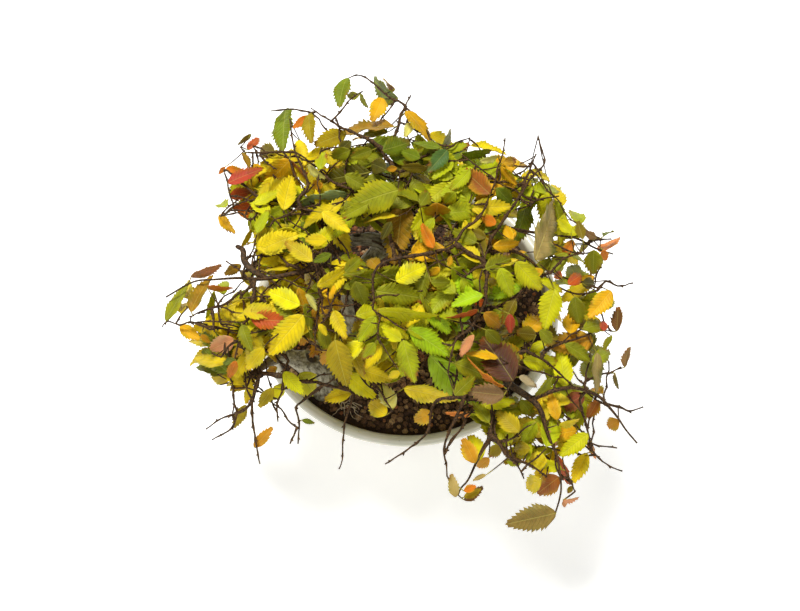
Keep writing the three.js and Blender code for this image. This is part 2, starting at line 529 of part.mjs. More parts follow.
// A point of the blade: t along the midrib, w across from -1 to 1.
function bladePoint(leaf, t, w) {
  const lift = leaf.fold * Math.abs(w) * 0.5 * leaf.width - leaf.arch * leaf.length * t * t;
  return leaf.base.clone()
    .addScaledVector(leaf.rib, t * leaf.length)
    .addScaledVector(leaf.side, 0.5 * w * leaf.width)
    .addScaledVector(leaf.face, lift);
}

const PROBES = [[0.1, 0], [0.3, -0.7], [0.3, 0], [0.3, 0.7], [0.55, -0.75], [0.55, 0], [0.55, 0.75],
[0.8, -0.4],
  [0.8, 0.4], [0.98, 0]];

function isClear(points) {
  for (const other of taken) {
    for (const point of points) {
      if (point.distanceToSquared(other.at) < other.room * other.room) {
        return false;
      }
    }
  }
  return true;
}

const leaves = [];

function keepLeaf(leaf, points, tint) {
  leaf.tint = tint;
  leaves.push(leaf);
  points.forEach((at) => taken.push({ at, room: LEAF_ROOM, leaf }));
}

// Reads a leaf into the crown, so far under the dome that it stands clear of all the others.
function placeSeenLeaf([u, v, tipU, tipV, width, tint], depth, seed) {
  for (let k = 0; k < DEPTH_TRIES; k++) {
    const draw = seededRandom(seed);
    const sunk = depth + k * DEPTH_STEP;
    const leaf = leafFrame(underDome(u, v, sunk), underDome(tipU, tipV, sunk + TIP_DROOP), width, draw);
    const points = PROBES.map(([t, w]) => bladePoint(leaf, t, w));
    if (isClear(points)) {
      keepLeaf(leaf, points, tint);
      return;
    }
  }
}

Object.values(LEAVES).forEach((group) => {
  group.rows.forEach((row) => placeSeenLeaf(row, group.depth, SEED + leaves.length));
});

function isHidden(point) {
  const [u, v] = pixelOf(point);
  const across = (u - CROWN_OUTLINE.u) / (u > CROWN_OUTLINE.u ? CROWN_OUTLINE.right : CROWN_OUTLINE.left);
  const along = (v - CROWN_OUTLINE.v) / (v > CROWN_OUTLINE.v ? CROWN_OUTLINE.down : CROWN_OUTLINE.up);
  const open = OPEN_SPOTS.some(([a, b, r]) => (u - a) ** 2 + (v - b) ** 2 < r * r);
  return across * across + along * along < 1 && !open;
}

// Leaves on the sides, the back and underneath, which the photograph's camera doesn't see.
function placeFillers() {
  const draw = seededRandom(SEED);
  let wanted = FILLERS.count;
  for (let tries = 0; tries < 40 * FILLERS.count && wanted > 0; tries++) {
    const turn = 2 * Math.PI * draw();
    const out = FILLERS.reach * Math.sqrt(0.08 + 0.92 * draw());
    const depth = FILLERS.depth[0] + FILLERS.depth[1] * draw();
    const length = FILLERS.length[0] + FILLERS.length[1] * draw();
    const swing = turn + 1.6 * (draw() - 0.5);
    const droop = -0.75 * draw();
    const lean = 0.9 * (draw() - 0.5);
    const tint = draw();
    const x = CANOPY.x + out * Math.cos(turn);
    const y = CANOPY.y - 8 + 0.86 * out * Math.sin(turn);
    const top = CANOPY.top - CANOPY.fall * ((x - CANOPY.x) ** 2 + (y - CANOPY.y) ** 2);
    const base = vec(x, y, top - depth);
    const rib = vec(Math.cos(swing), Math.sin(swing), droop).normalize();
    const face = vec(0, 0, 1).addScaledVector(rib, -rib.z).normalize().applyAxisAngle(rib, lean);
    const leaf = { base, rib, side: rib.clone().cross(face), face, length, width: 0.52 * length,
      fold: LEAF_FOLD, arch: 1.3 * LEAF_ARCH };
    const points = PROBES.map(([t, w]) => bladePoint(leaf, t, w));
    if (isHidden(base) && isHidden(points[points.length - 1]) && isClear(points)) {
      keepLeaf(leaf, points, tint < 0.4 ? 'lime' : tint < 0.75 ? 'yellow' : 'amber');
      wanted -= 1;
    }
  }
}

placeFillers();

function isOpenWay(from, to, leaf) {
  const segment = { a: from, b: to };
  return !taken.some((other) => other.leaf && other.leaf !== leaf
    && nearestOn(segment, other.at).distanceTo(other.at) < TWIG_ROOM);
}

// Each leaf hangs by its stalk on the nearest strand that it can reach without crossing another leaf.
function hangLeaf(leaf) {
  const ways = segments.map((segment) => {
    const foot = nearestOn(segment, leaf.base);
    const cost = foot.distanceTo(leaf.base) + PENALTY[segment.strand.kind];
    return { foot, cost, strand: segment.strand };
  }).sort((a, b) => a.cost - b.cost).slice(0, 24);
  const way = ways.find(({ foot }) => isOpenWay(foot, leaf.base, leaf)) ?? ways[0];
  const draw = seededRandom(SEED + Math.round(97 * leaf.length));
  const foot = way.foot.clone().add(vec(draw() - 0.5, draw() - 0.5,
  draw() - 0.5).multiplyScalar(FOOT_SCATTER));
  leaf.stalk = addStrand('stalk', [foot, leaf.base], [0, 0], way.strand);
}

function distanceToWood(leaf) {
  return Math.min(...segments.map((segment) => nearestOn(segment, leaf.base).distanceTo(leaf.base)));
}

leaves.filter((leaf) => leaf.length > SMALLEST_LEAF)
  .map((leaf) => ({ leaf, far: distanceToWood(leaf) }))
  .sort((a, b) => a.far - b.far)
  .forEach(({ leaf }) => hangLeaf(leaf));

// A blade with its stalk as one plate, BLADE_THICKNESS thick, split alike on both faces.
function leafGeometry(leaf) {
  const foot = leaf.stalk.points[0];
  const stalk = leaf.base.clone().sub(foot);
  const across = leaf.side.clone().addScaledVector(stalk,
  -leaf.side.dot(stalk) / stalk.lengthSq()).normalize();
  const stations = [{ at: foot, across, half: STALK_WIDTH / 2,
  thick: across.clone().cross(stalk).normalize() }];
  if (stalk.length() > SHORT_STALK) {
    stations.push({ at: leaf.base, across: leaf.side, half: STALK_WIDTH / 2, thick: leaf.face });
  }
  TOOTHED_EDGE.forEach(([t, w]) => {
    stations.push({ at: bladePoint(leaf, t, 0), across: leaf.side, half: 0.5 * w * leaf.width,
    thick: leaf.face });
  });
  const upper = stations.flatMap(({ at, across: out, half, thick }) => [-1, 1].map((end) => at.clone()
    .addScaledVector(out, end * half).addScaledVector(thick, BLADE_THICKNESS / 2)));
  const lower = stations.flatMap(({ at, across: out, half, thick }) => [-1, 1].map((end) => at.clone()
    .addScaledVector(out, end * half).addScaledVector(thick, -BLADE_THICKNESS / 2)));
  const tip = bladePoint(leaf, 1, 0);
  upper.push(tip.clone().addScaledVector(leaf.face, BLADE_THICKNESS / 2));
  lower.push(tip.clone().addScaledVector(leaf.face, -BLADE_THICKNESS / 2));
  const count = upper.length;
  const faces = [];
  for (let i = 0; i + 2 < count; i++) {
    faces.push(i % 2 ? [i, i + 2, i + 1] : [i, i + 1, i + 2]);
  }
  const rim = [];
  for (let i = 0; i < count; i += 2) {
    rim.push(i);
  }
  for (let i = count - 2; i > 0; i -= 2) {
    rim.push(i);
  }
  const triangles = faces.flatMap(([a, b, c]) => [a, b, c, count + a, count + c, count + b]);
  rim.forEach((a, i) => {
    const b = rim[(i + 1) % rim.length];
    triangles.push(a, b, count + b, a, count + b, count + a);
  });
  return geometryOf([...upper, ...lower], triangles);
}

function strandSolid(strand, grow = 0) {
  const sides = strand.kind === 'limb' ? (strand.radii[0] > 4 ? 6 : 5) : 3;
  return toSolid(tube(strand.points, strand.radii.map((radius) => radius + grow), sides));
}

strands.forEach((strand) => {
  strand.load = 0;
});

// A twig with enough leaves is a spray of its own, and the others belong to what they grow from.
function homeOf(strand) {
  let at = strand;
  while (at.kind === 'stalk' || (at.kind === 'twig' && at.load < FEWEST_IN_SPRAY)) {
    at = at.parent;
  }
  return at.kind === 'limb' ? null : at;
}

function carrierOf(strand) {
  return strand.kind === 'stalk' ? carrierOf(strand.parent) : strand;
}

const hung = leaves.filter((leaf) => leaf.stalk);
hung.forEach((leaf) => {
  carrierOf(leaf.stalk).load += 1;
});
[...strands].reverse().forEach((strand) => {
  if (strand.kind === 'twig' && strand.load < FEWEST_IN_SPRAY) {
    strand.parent.load += strand.load;
  }
});

const wood = { solids: [], tints: [] };
const groups = new Map();
function groupOf(strand) {
  const home = homeOf(strand);
  if (!home) {
    return wood;
  }
  if (!groups.has(home)) {
    groups.set(home, { twig: home, solids: [], tints: [] });
  }
  return groups.get(home);
}

strands.filter((strand) => strand.kind !== 'stalk').forEach((strand) => {
  groupOf(strand).solids.push(strandSolid(strand));
});
hung.forEach((leaf) => {
  const group = groupOf(leaf.stalk);
  group.solids.push(toSolid(leafGeometry(leaf)));
  group.tints.push(leaf.tint);
});

function largest(solid) {
  const bodies = solid.decompose();
  return bodies.reduce((best, body) => (body.volume() > best.volume() ? body : best));
}

// Each spray stands clear of the strands of the wood and of the twig that it grows from.
const woodRoom = wasm.Manifold.union(strands
  .filter((strand) => strand.kind !== 'stalk' && groupOf(strand) === wood)
  .map((strand) => strandSolid(strand, GAP)));
wood.solid = largest(wasm.Manifold.union(wood.solids));
const sprays = [...groups.values()];
sprays.forEach((spray) => {
  const cleared = wasm.Manifold.union(spray.solids).subtract(woodRoom);
  const { parent } = spray.twig;
  spray.solid = largest(groupOf(parent) === wood ? cleared : cleared.subtract(strandSolid(parent, GAP)));
});

function crosses(one, other) {
  return one.intersect(other).volume() > 1e-4;
}

// Sprays that would cross are one node, and one that crosses a leaf of the wood joins the wood.
function fuseCrossing() {
  for (let i = 0; i < sprays.length; i++) {
    for (let k = sprays.length - 1; k > i; k--) {
      if (crosses(sprays[i].solid, sprays[k].solid)) {
        sprays[i].solid = sprays[i].solid.add(sprays[k].solid);
        sprays[i].tints.push(...sprays[k].tints);
        sprays.splice(k, 1);
        k = sprays.length;
      }
    }
  }
  for (let i = sprays.length - 1; i >= 0; i--) {
    if (crosses(sprays[i].solid, wood.solid)) {
      wood.solid = wood.solid.add(sprays[i].solid);
      sprays.splice(i, 1);
    }
  }
}

fuseCrossing();

// The bowl's inner wall, which the soil fills, as radius and height from the floor to the lip.
const INNER_WALL = [[64, POT_FLOOR], [70, POT_FLOOR + 4], [86, 31], [98, 58],
  [POT_RADIUS - LIP_WIDTH, POT_HEIGHT - 3]];
const POT_PROFILE = [[0, 0], [POT_FOOT_RADIUS, 0], [POT_FOOT_RADIUS + 3, 6], [92, 30], [103, 56],
  [POT_RADIUS - 1.5, POT_HEIGHT - 8], [POT_RADIUS, POT_HEIGHT - 3], [POT_RADIUS - 2.5, POT_HEIGHT],
  [POT_RADIUS - LIP_WIDTH + 2, POT_HEIGHT - 0.4], ...[...INNER_WALL].reverse(), [0, POT_FLOOR]];

function wallRadius(height) {
  const above = INNER_WALL.findIndex(([, z]) => z >= height);
  const [r0, z0] = INNER_WALL[above - 1];
  const [r1, z1] = INNER_WALL[above];
  return r0 + ((r1 - r0) * (height - z0)) / (z1 - z0);
}

const SOIL_RADIUS = wallRadius(SOIL_LEVEL);

function lathe(profile) {
  const geometry = new THREE.LatheGeometry(profile.map(([r, z]) => new THREE.Vector2(r, z)), POT_SIDES);
  return toSolid(geometry.rotateX(Math.PI / 2));
}

function drainCentres() {
  return Array.from({ length: DRAIN_COUNT }, (_, i) => {
    const turn = (2 * Math.PI * i) / DRAIN_COUNT;
    return vec(DRAIN_OFFSET * Math.cos(turn), DRAIN_OFFSET * Math.sin(turn), 0);
  });
}

function potSolid() {
  const bowl = lathe(POT_PROFILE);
  const drill = new THREE.CylinderGeometry(DRAIN_RADIUS, DRAIN_RADIUS, 4 * POT_FLOOR,
  20).rotateX(Math.PI / 2);
  const drains = drainCentres().map(({ x, y }) => toSolid(drill.clone().translate(x, y, 0)));
  return bowl.subtract(wasm.Manifold.union(drains));
}

function soilTop(x, y) {
  const far = Math.hypot(x, y);
  const mound = SOIL_MOUND * Math.max(0, 1 - (far / 100) ** 2);
  const grain = Math.sin(0.47 * x + 1.3 * Math.sin(0.21 * y)) * Math.cos(0.41 * y + 0.9 * Math.sin(0.33 * x));
  return SOIL_LEVEL + mound + GRAIN_RELIEF * grain * Math.min(1, (SOIL_RADIUS - far) / 6);
}

function soilSolid() {
  const below = INNER_WALL.filter(([, z]) => z < SOIL_LEVEL)
    .map(([r, z]) => [r - SOIL_SLACK, Math.max(z, POT_FLOOR + GAP)]);
  const rings = [...below, [SOIL_RADIUS - SOIL_SLACK, SOIL_LEVEL]];
  const topRadii = [90, 74, 57, 40, 22];
  const points = [vec(0, 0, POT_FLOOR + GAP)];
  const addRing = (r, height) => {
    for (let k = 0; k < POT_SIDES; k++) {
      const turn = (2 * Math.PI * k) / POT_SIDES;
      const x = r * Math.sin(turn);
      const y = r * Math.cos(turn);
      points.push(vec(x, y, height(x, y)));
    }
  };
  rings.forEach(([r, z]) => addRing(r, () => z));
  topRadii.forEach((r) => addRing(r, soilTop));
  points.push(vec(0, 0, soilTop(0, 0)));
  const triangles = [];
  const count = rings.length + topRadii.length;
  const last = points.length - 1;
  for (let k = 0; k < POT_SIDES; k++) {
    const next = (k + 1) % POT_SIDES;
    triangles.push(0, 1 + k, 1 + next);
    for (let i = 0; i + 1 < count; i++) {
      const a = 1 + i * POT_SIDES;
      const b = a + POT_SIDES;
      triangles.push(a + k, b + k, a + next, a + next, b + k, b + next);
    }
    const a = 1 + (count - 1) * POT_SIDES;
    triangles.push(a + k, last, a + next);
  }
  const nets = drainCentres().map(({ x, y }) => {
    const size = NET_SIZE + 2 * GAP;
    const height = 2 * (NET_THICKNESS + 2 * GAP);
    return toSolid(new THREE.BoxGeometry(size, size, height).translate(x, y, POT_FLOOR));
  });
  const stems = strands.filter((strand) => strand.kind === 'limb' && strand.points[0].z < SOIL_LEVEL + 6)
    .map((strand) => strandSolid(strand, GAP));
  return toSolid(geometryOf(points, triangles)).subtract(wasm.Manifold.union([...nets, ...stems]));
}

// A square net of crossed bars, which keeps the soil in over a drain hole.
function netSolid({ x, y }) {
  const step = (NET_SIZE - NET_BAR) / NET_CELLS;
  const bars = [];
  for (let i = 0; i <= NET_CELLS; i++) {
    const offset = (NET_BAR - NET_SIZE) / 2 + i * step;
    const height = POT_FLOOR + GAP + NET_THICKNESS / 2;
    bars.push(new THREE.BoxGeometry(NET_BAR, NET_SIZE, NET_THICKNESS).translate(x + offset, y, height));
    bars.push(new THREE.BoxGeometry(NET_SIZE, NET_BAR, NET_THICKNESS).translate(x, y + offset, height));
  }
  return wasm.Manifold.union(bars.map(toSolid));
}

const TINT_COLOURS = {
  lemon: 0xf4e408, yellow: 0xe6c80c, limeyellow: 0xc4c00a, paleyellow: 0xe8dc60, golden: 0xe6aa08,
  mustard: 0xb09a08, amber: 0xc88c10, ochre: 0xa8800c, orange: 0xe08018, rust: 0xc05512,
  rustbrown: 0x9c5a18,
  red: 0xb8462a, dustyred: 0xa85838, peach: 0xdc9660, brown: 0x704c20, umber: 0x6e5c12, tan: 0xb09a54,
  tanolive: 0x98823a, taupe: 0x9a8060, cream: 0xe0c898, lime: 0xa2b40a, brightlime: 0xa8cc0a,
  olive: 0x7e860c,
  darkolive: 0x504c0a, green: 0x5c7c14, greygreen: 0x6e9058, bluegreen: 0x3e6236,
};

function namedMesh(name, solid, colour, roughness) {
  const mesh = new THREE.Mesh(
    toGeometry(solid),
    new THREE.MeshStandardMaterial({ color: colour, roughness, metalness: 0 }),
  );
  mesh.name = name;
  return mesh;
}

function commonest(tints) {
  const counts = tints.map((tint) => tints.filter((other) => other === tint).length);
  return tints[counts.indexOf(Math.max(...counts))];
}

const bonsai = new THREE.Group();
const planting = new THREE.Group();
planting.add(namedMesh('pot', potSolid(), 0xdcdcc8, 0.25));
planting.add(namedMesh('soil', soilSolid(), 0x4a3622, 0.95));
drainCentres().forEach((centre, i) => {
  planting.add(namedMesh(`drain_net_${i + 1}`, netSolid(centre), 0x24262a, 0.5));
});
const tree = new THREE.Group();
tree.add(namedMesh('wood', wood.solid, 0x6a5c4c, 0.85));
sprays.forEach((spray, i) => {
  const name = `spray_${String(i + 1).padStart(2, '0')}`;
  tree.add(namedMesh(name, spray.solid, TINT_COLOURS[commonest(spray.tints)], 0.5));
});
bonsai.add(planting, tree);

export default bonsai;
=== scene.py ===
import functools
import json
import math
import random

import bpy
import numpy as np
from bpy.props import FloatProperty, FloatVectorProperty, IntProperty, PointerProperty
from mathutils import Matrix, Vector, noise
from mathutils.bvhtree import BVHTree
from mathutils.kdtree import KDTree


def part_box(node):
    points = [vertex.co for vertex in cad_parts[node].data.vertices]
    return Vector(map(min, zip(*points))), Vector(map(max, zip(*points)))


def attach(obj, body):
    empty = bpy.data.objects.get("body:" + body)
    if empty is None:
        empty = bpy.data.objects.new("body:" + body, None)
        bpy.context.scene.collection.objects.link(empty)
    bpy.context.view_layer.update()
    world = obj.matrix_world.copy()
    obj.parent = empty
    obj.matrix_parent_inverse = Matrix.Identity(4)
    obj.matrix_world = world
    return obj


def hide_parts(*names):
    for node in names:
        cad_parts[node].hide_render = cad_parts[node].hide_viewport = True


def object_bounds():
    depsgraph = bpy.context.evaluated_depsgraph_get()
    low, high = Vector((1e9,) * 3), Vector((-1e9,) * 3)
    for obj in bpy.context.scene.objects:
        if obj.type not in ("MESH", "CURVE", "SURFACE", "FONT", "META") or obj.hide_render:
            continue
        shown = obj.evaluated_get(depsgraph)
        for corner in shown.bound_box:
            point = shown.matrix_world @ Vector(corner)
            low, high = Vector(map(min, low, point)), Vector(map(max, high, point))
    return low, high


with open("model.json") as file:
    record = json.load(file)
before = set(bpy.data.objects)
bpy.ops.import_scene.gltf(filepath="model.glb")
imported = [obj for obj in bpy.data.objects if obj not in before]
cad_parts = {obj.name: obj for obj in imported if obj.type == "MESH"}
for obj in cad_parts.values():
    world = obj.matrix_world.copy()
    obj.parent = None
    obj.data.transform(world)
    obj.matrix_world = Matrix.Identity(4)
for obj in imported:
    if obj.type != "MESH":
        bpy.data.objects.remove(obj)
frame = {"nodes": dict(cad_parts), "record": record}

bl_info = {
    "name": "Zelkova Bonsai",
    "version": (1, 0, 0),
    "blender": (4, 5, 0),
    "location": "3D View > Sidebar > Bonsai",
    "description": "Builds a japanese zelkova bonsai in autumn leaf, in its round glazed bowl",
    "category": "Object",
}

CAD_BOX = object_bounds()
BODY = "root"
SLOT_OF_NODE = {part["node"]: part["material_slot"] for part in frame["record"]["subparts"]}
LEAFY_NODES = [name for name in sorted(frame["nodes"]) if name.startswith("spray") or name == "wood"]

# Lengths from here to the meshes are in millimetres.
MM = 0.001
POT_HEIGHT = 78
POT_FOOT_RADIUS = 74
POT_FLOOR = 11
SOIL_LEVEL = 69
SOIL_RADIUS = 99.7
SOIL_MOUND = 5
GRAIN_RELIEF = 1.1
BED_DEPTH = 1.5
BED_RINGS = 48
BED_SEGMENTS = 144
DRAIN_RADIUS = 8
DRAIN_OFFSET = 42
DRAIN_COUNT = 2
DRAIN_SEGMENTS = 48
NET_SIZE = 26
NET_THICKNESS = 1.2
SEAT_GAP = 0.3

CANOPY_TOP = 222
CANOPY_FALL = 0.0022
CANOPY_X = -5
CANOPY_Y = 5
LEAF_FOLD = 0.16
LEAF_ARCH = 0.16
LEAF_ROOM = 3.7
TWIG_ROOM = 2.4
TIP_DROOP = 3
DEPTH_STEP = 2.5
DEPTH_TRIES = 26
THINNEST_TWIG = 1.1
FOOT_SCATTER = 0.4
SMALLEST_SOLID_LEAF = 15.8
PENALTY = {"limb": 10, "twig": 0, "stalk": 8}
SEED = 4107
FILLER_COUNT = 36
FILLER_REACH = 150
FILLER_TRIES = 40

# The photograph's camera, which turns a pixel of the 800 x 611 frame into a ray.
PHOTO_WIDTH = 800
SENSOR_WIDTH = 36
SHOT_TARGET = (-5, -3, 78)
SHOT_DISTANCE = 800
SHOT_ELEVATION = 61
SHOT_FOCAL = 1111
SHOT_CENTRE = (400, 305.5)

# The bowl's section as (radius, height), up the outside and down the inside.
POT_OUTSIDE = [(77, 6), (92, 30), (103, 56), (108.5, 70), (110, 75), (107.5, POT_HEIGHT), (104, 77.6)]
POT_INSIDE = [(102, 75), (98, 58), (86, 31), (70, 15), (64, POT_FLOOR)]

# Limbs stouter than STOUT_RADIUS are one body. Those thinner than FULL_RADIUS are drawn slimmer than
# the solids, down to THIN_SHARE of their radius. From CARVED_RADIUS up, the bark's relief is full.
STOUT_RADIUS = 1.35
FULL_RADIUS = 8
THIN_SHARE = 0.48
LIMB_STEP = 2.0
LIMB_SIDES = 20
CARVED_RADIUS = 7

# Twigs swell at each knot and sway a little between them. Stalks are thinner and plain.
KNOT_STEP = 3.2
KNOT_SWELL = 1.35
KNOT_WAIST = 0.95
TWIG_SWAY = 0.22
TWIG_SIDES = 6
STALK_RADIUS = 0.42

# What lies on the soil: the pixel of the moss, and the pixel and size of the fine roots.
MOSS_PIXEL = (371, 367)
MOSS_SEGMENTS = 20
ROOTLET_PIXEL = (350, 404)
ROOTLET_SPREAD = (13, 6)
ROOTLET_POINTS = 7
ROOTLET_STEP = 1.8
ROOTLET_RADIUS = 0.42
ROOTLET_SIDES = 5

# Side shoots: how many leaves they have, how far apart, how long, and how low they may start.
SHOOT_NODES = (3, 6)
SHOOT_STEP = (6.5, 9.5)
SHOOT_LEAF = (19, 28)
SHOOT_FLOOR = 120
SHOOT_RADIUS = 0.55
SHOOT_TRIES = 60

# Healed cuts and knots: pixel, half width, half height, raised ring and sunk middle.
SCARS = [(312, 357, 5.0, 6.5, 1.0, 1.7), (343, 241, 2.6, 3.2, 0.7, 0.9), (357, 235, 2.0, 3.4, 0.5, 1.2)]

WHITE = (1, 1, 1, 1)
FLOOR_REACH = 4000

# Studio lamps: name, place and size in metres, share of the main light's power.
LIGHTS = [("key", (-0.45, 0.5, 2.2), 0.6, 1.0), ("front", (0.5, -1.6, 1.5), 1.4, 0.2)]

# Limbs as [u, v, height, radius] points, read from the photograph.
LIMBS = {
    "trunk": [
        [362, 372, 52, 7], [362, 370, 70, 11], [359, 358, 86, 7.2], [352, 332, 108, 5.8],
        [347, 303, 134, 5.3], [356, 275, 152, 5.4], [374, 255, 163, 6.2], [388, 243, 170, 7.2],
    ],
    "lowTrunk": [
        [330, 392, 54, 7], [325, 388, 72, 9.5], [318, 372, 90, 8.6], [306, 363, 104, 8],
        [296, 359, 112, 6.6], [284, 356, 118, 5.4], [270, 362, 122, 4.3], [256, 371, 124, 3],
        [242, 379, 125, 1.7], [220, 385, 125, 0.8],
    ],
    "buriedRoot": [
        [362, 372, 56, 5], [346, 384, 54, 4.4], [330, 390, 58, 5],
    ],
    "rootRight": [
        [366, 372, 72, 7], [377, 374, 71, 4.6], [393, 381, 67, 2.6], [408, 390, 60, 1.2],
    ],
    "rootFront": [
        [358, 374, 70, 6], [352, 390, 70, 3.2], [346, 405, 66, 1.8], [344, 414, 60, 1],
    ],
    "rootBack": [
        [364, 362, 72, 6], [374, 350, 71, 3.6], [390, 340, 66, 1.8], [398, 336, 60, 1],
    ],
    "leftBough": [
        [388, 243, 170, 6.4], [365, 239, 178, 5.2], [345, 244, 184, 4.6], [335, 262, 187, 3.6],
        [320, 267, 188, 3], [300, 272, 188, 2.6], [262, 279, 186, 2.1], [240, 278, 183, 1.7],
        [215, 279.5, 178, 1.3], [193, 282, 172, 1.1], [166, 297, 160, 1],
    ],
    "upperLeft": [
        [347, 243, 184, 4.4], [335, 230, 190, 3.9], [322, 218, 195, 3.4], [312, 213, 197, 3],
        [299, 208, 197, 2.3], [284, 203, 195, 1.7], [258, 197, 188, 1.2],
    ],
    "mossyStub": [
        [266, 278, 186, 2.6], [252, 270, 189, 3.2], [244, 260, 191, 3], [243, 250, 192, 2.7],
        [236, 246, 192, 2.2],
    ],
    "backLimb": [
        [388, 243, 172, 5.4], [391, 222, 184, 4.2], [399, 195, 196, 3.3], [401, 172, 202, 2.5],
        [394, 158, 204, 2.1], [384, 150, 205, 1.7],
    ],
    "rightLimb": [
        [390, 245, 170, 6], [412, 262, 173, 5], [438, 285, 171, 4.6], [462, 318, 166, 4.3],
        [482, 350, 163, 3.8], [505, 380, 163, 3.5], [531, 399, 163, 3], [541, 411, 161, 2.6],
        [545, 425, 158, 2.1], [550, 440, 154, 1.7], [557, 456, 149, 1.4], [561, 483, 140, 1.1],
        [560, 497, 135, 1.1], [556, 511, 129, 1],
    ],
    "rimBough": [
        [482, 352, 162, 3.6], [491, 385, 161, 3.4], [492, 416, 159, 3.1], [490, 437, 155, 2.8],
        [483, 449, 151, 2], [476, 463, 147, 1.4], [468, 480, 142, 1.1], [461, 488, 139, 1],
        [458, 495, 137, 1],
    ],
    "eastLimb": [
        [400, 250, 175, 4.6], [437, 252, 190, 3.2], [466, 254, 198, 2.4], [497, 251, 198, 2],
        [516, 252, 196, 1.8], [531, 261, 193, 1.6], [543, 274, 189, 1.4], [557, 286, 185, 1.2],
        [577, 294, 179, 1.1], [597, 291, 175, 1],
    ],
    "northEast": [
        [399, 196, 196, 3], [430, 196, 200, 2.5], [462, 205, 199, 2.2], [490, 222, 197, 1.9],
        [520, 230, 192, 1.8], [545, 234, 187, 1.7], [575, 238, 181, 1.4], [595, 248, 176, 1.2],
        [613, 254, 171, 1],
    ],
    "eastLow": [
        [531, 399, 163, 2.6], [556, 390, 166, 2.2], [576, 388, 164, 2], [598, 396, 157, 1.8],
        [609, 407, 151, 1.5], [618, 418, 146, 1.2], [626, 430, 141, 1], [637, 443, 135, 1],
    ],
}

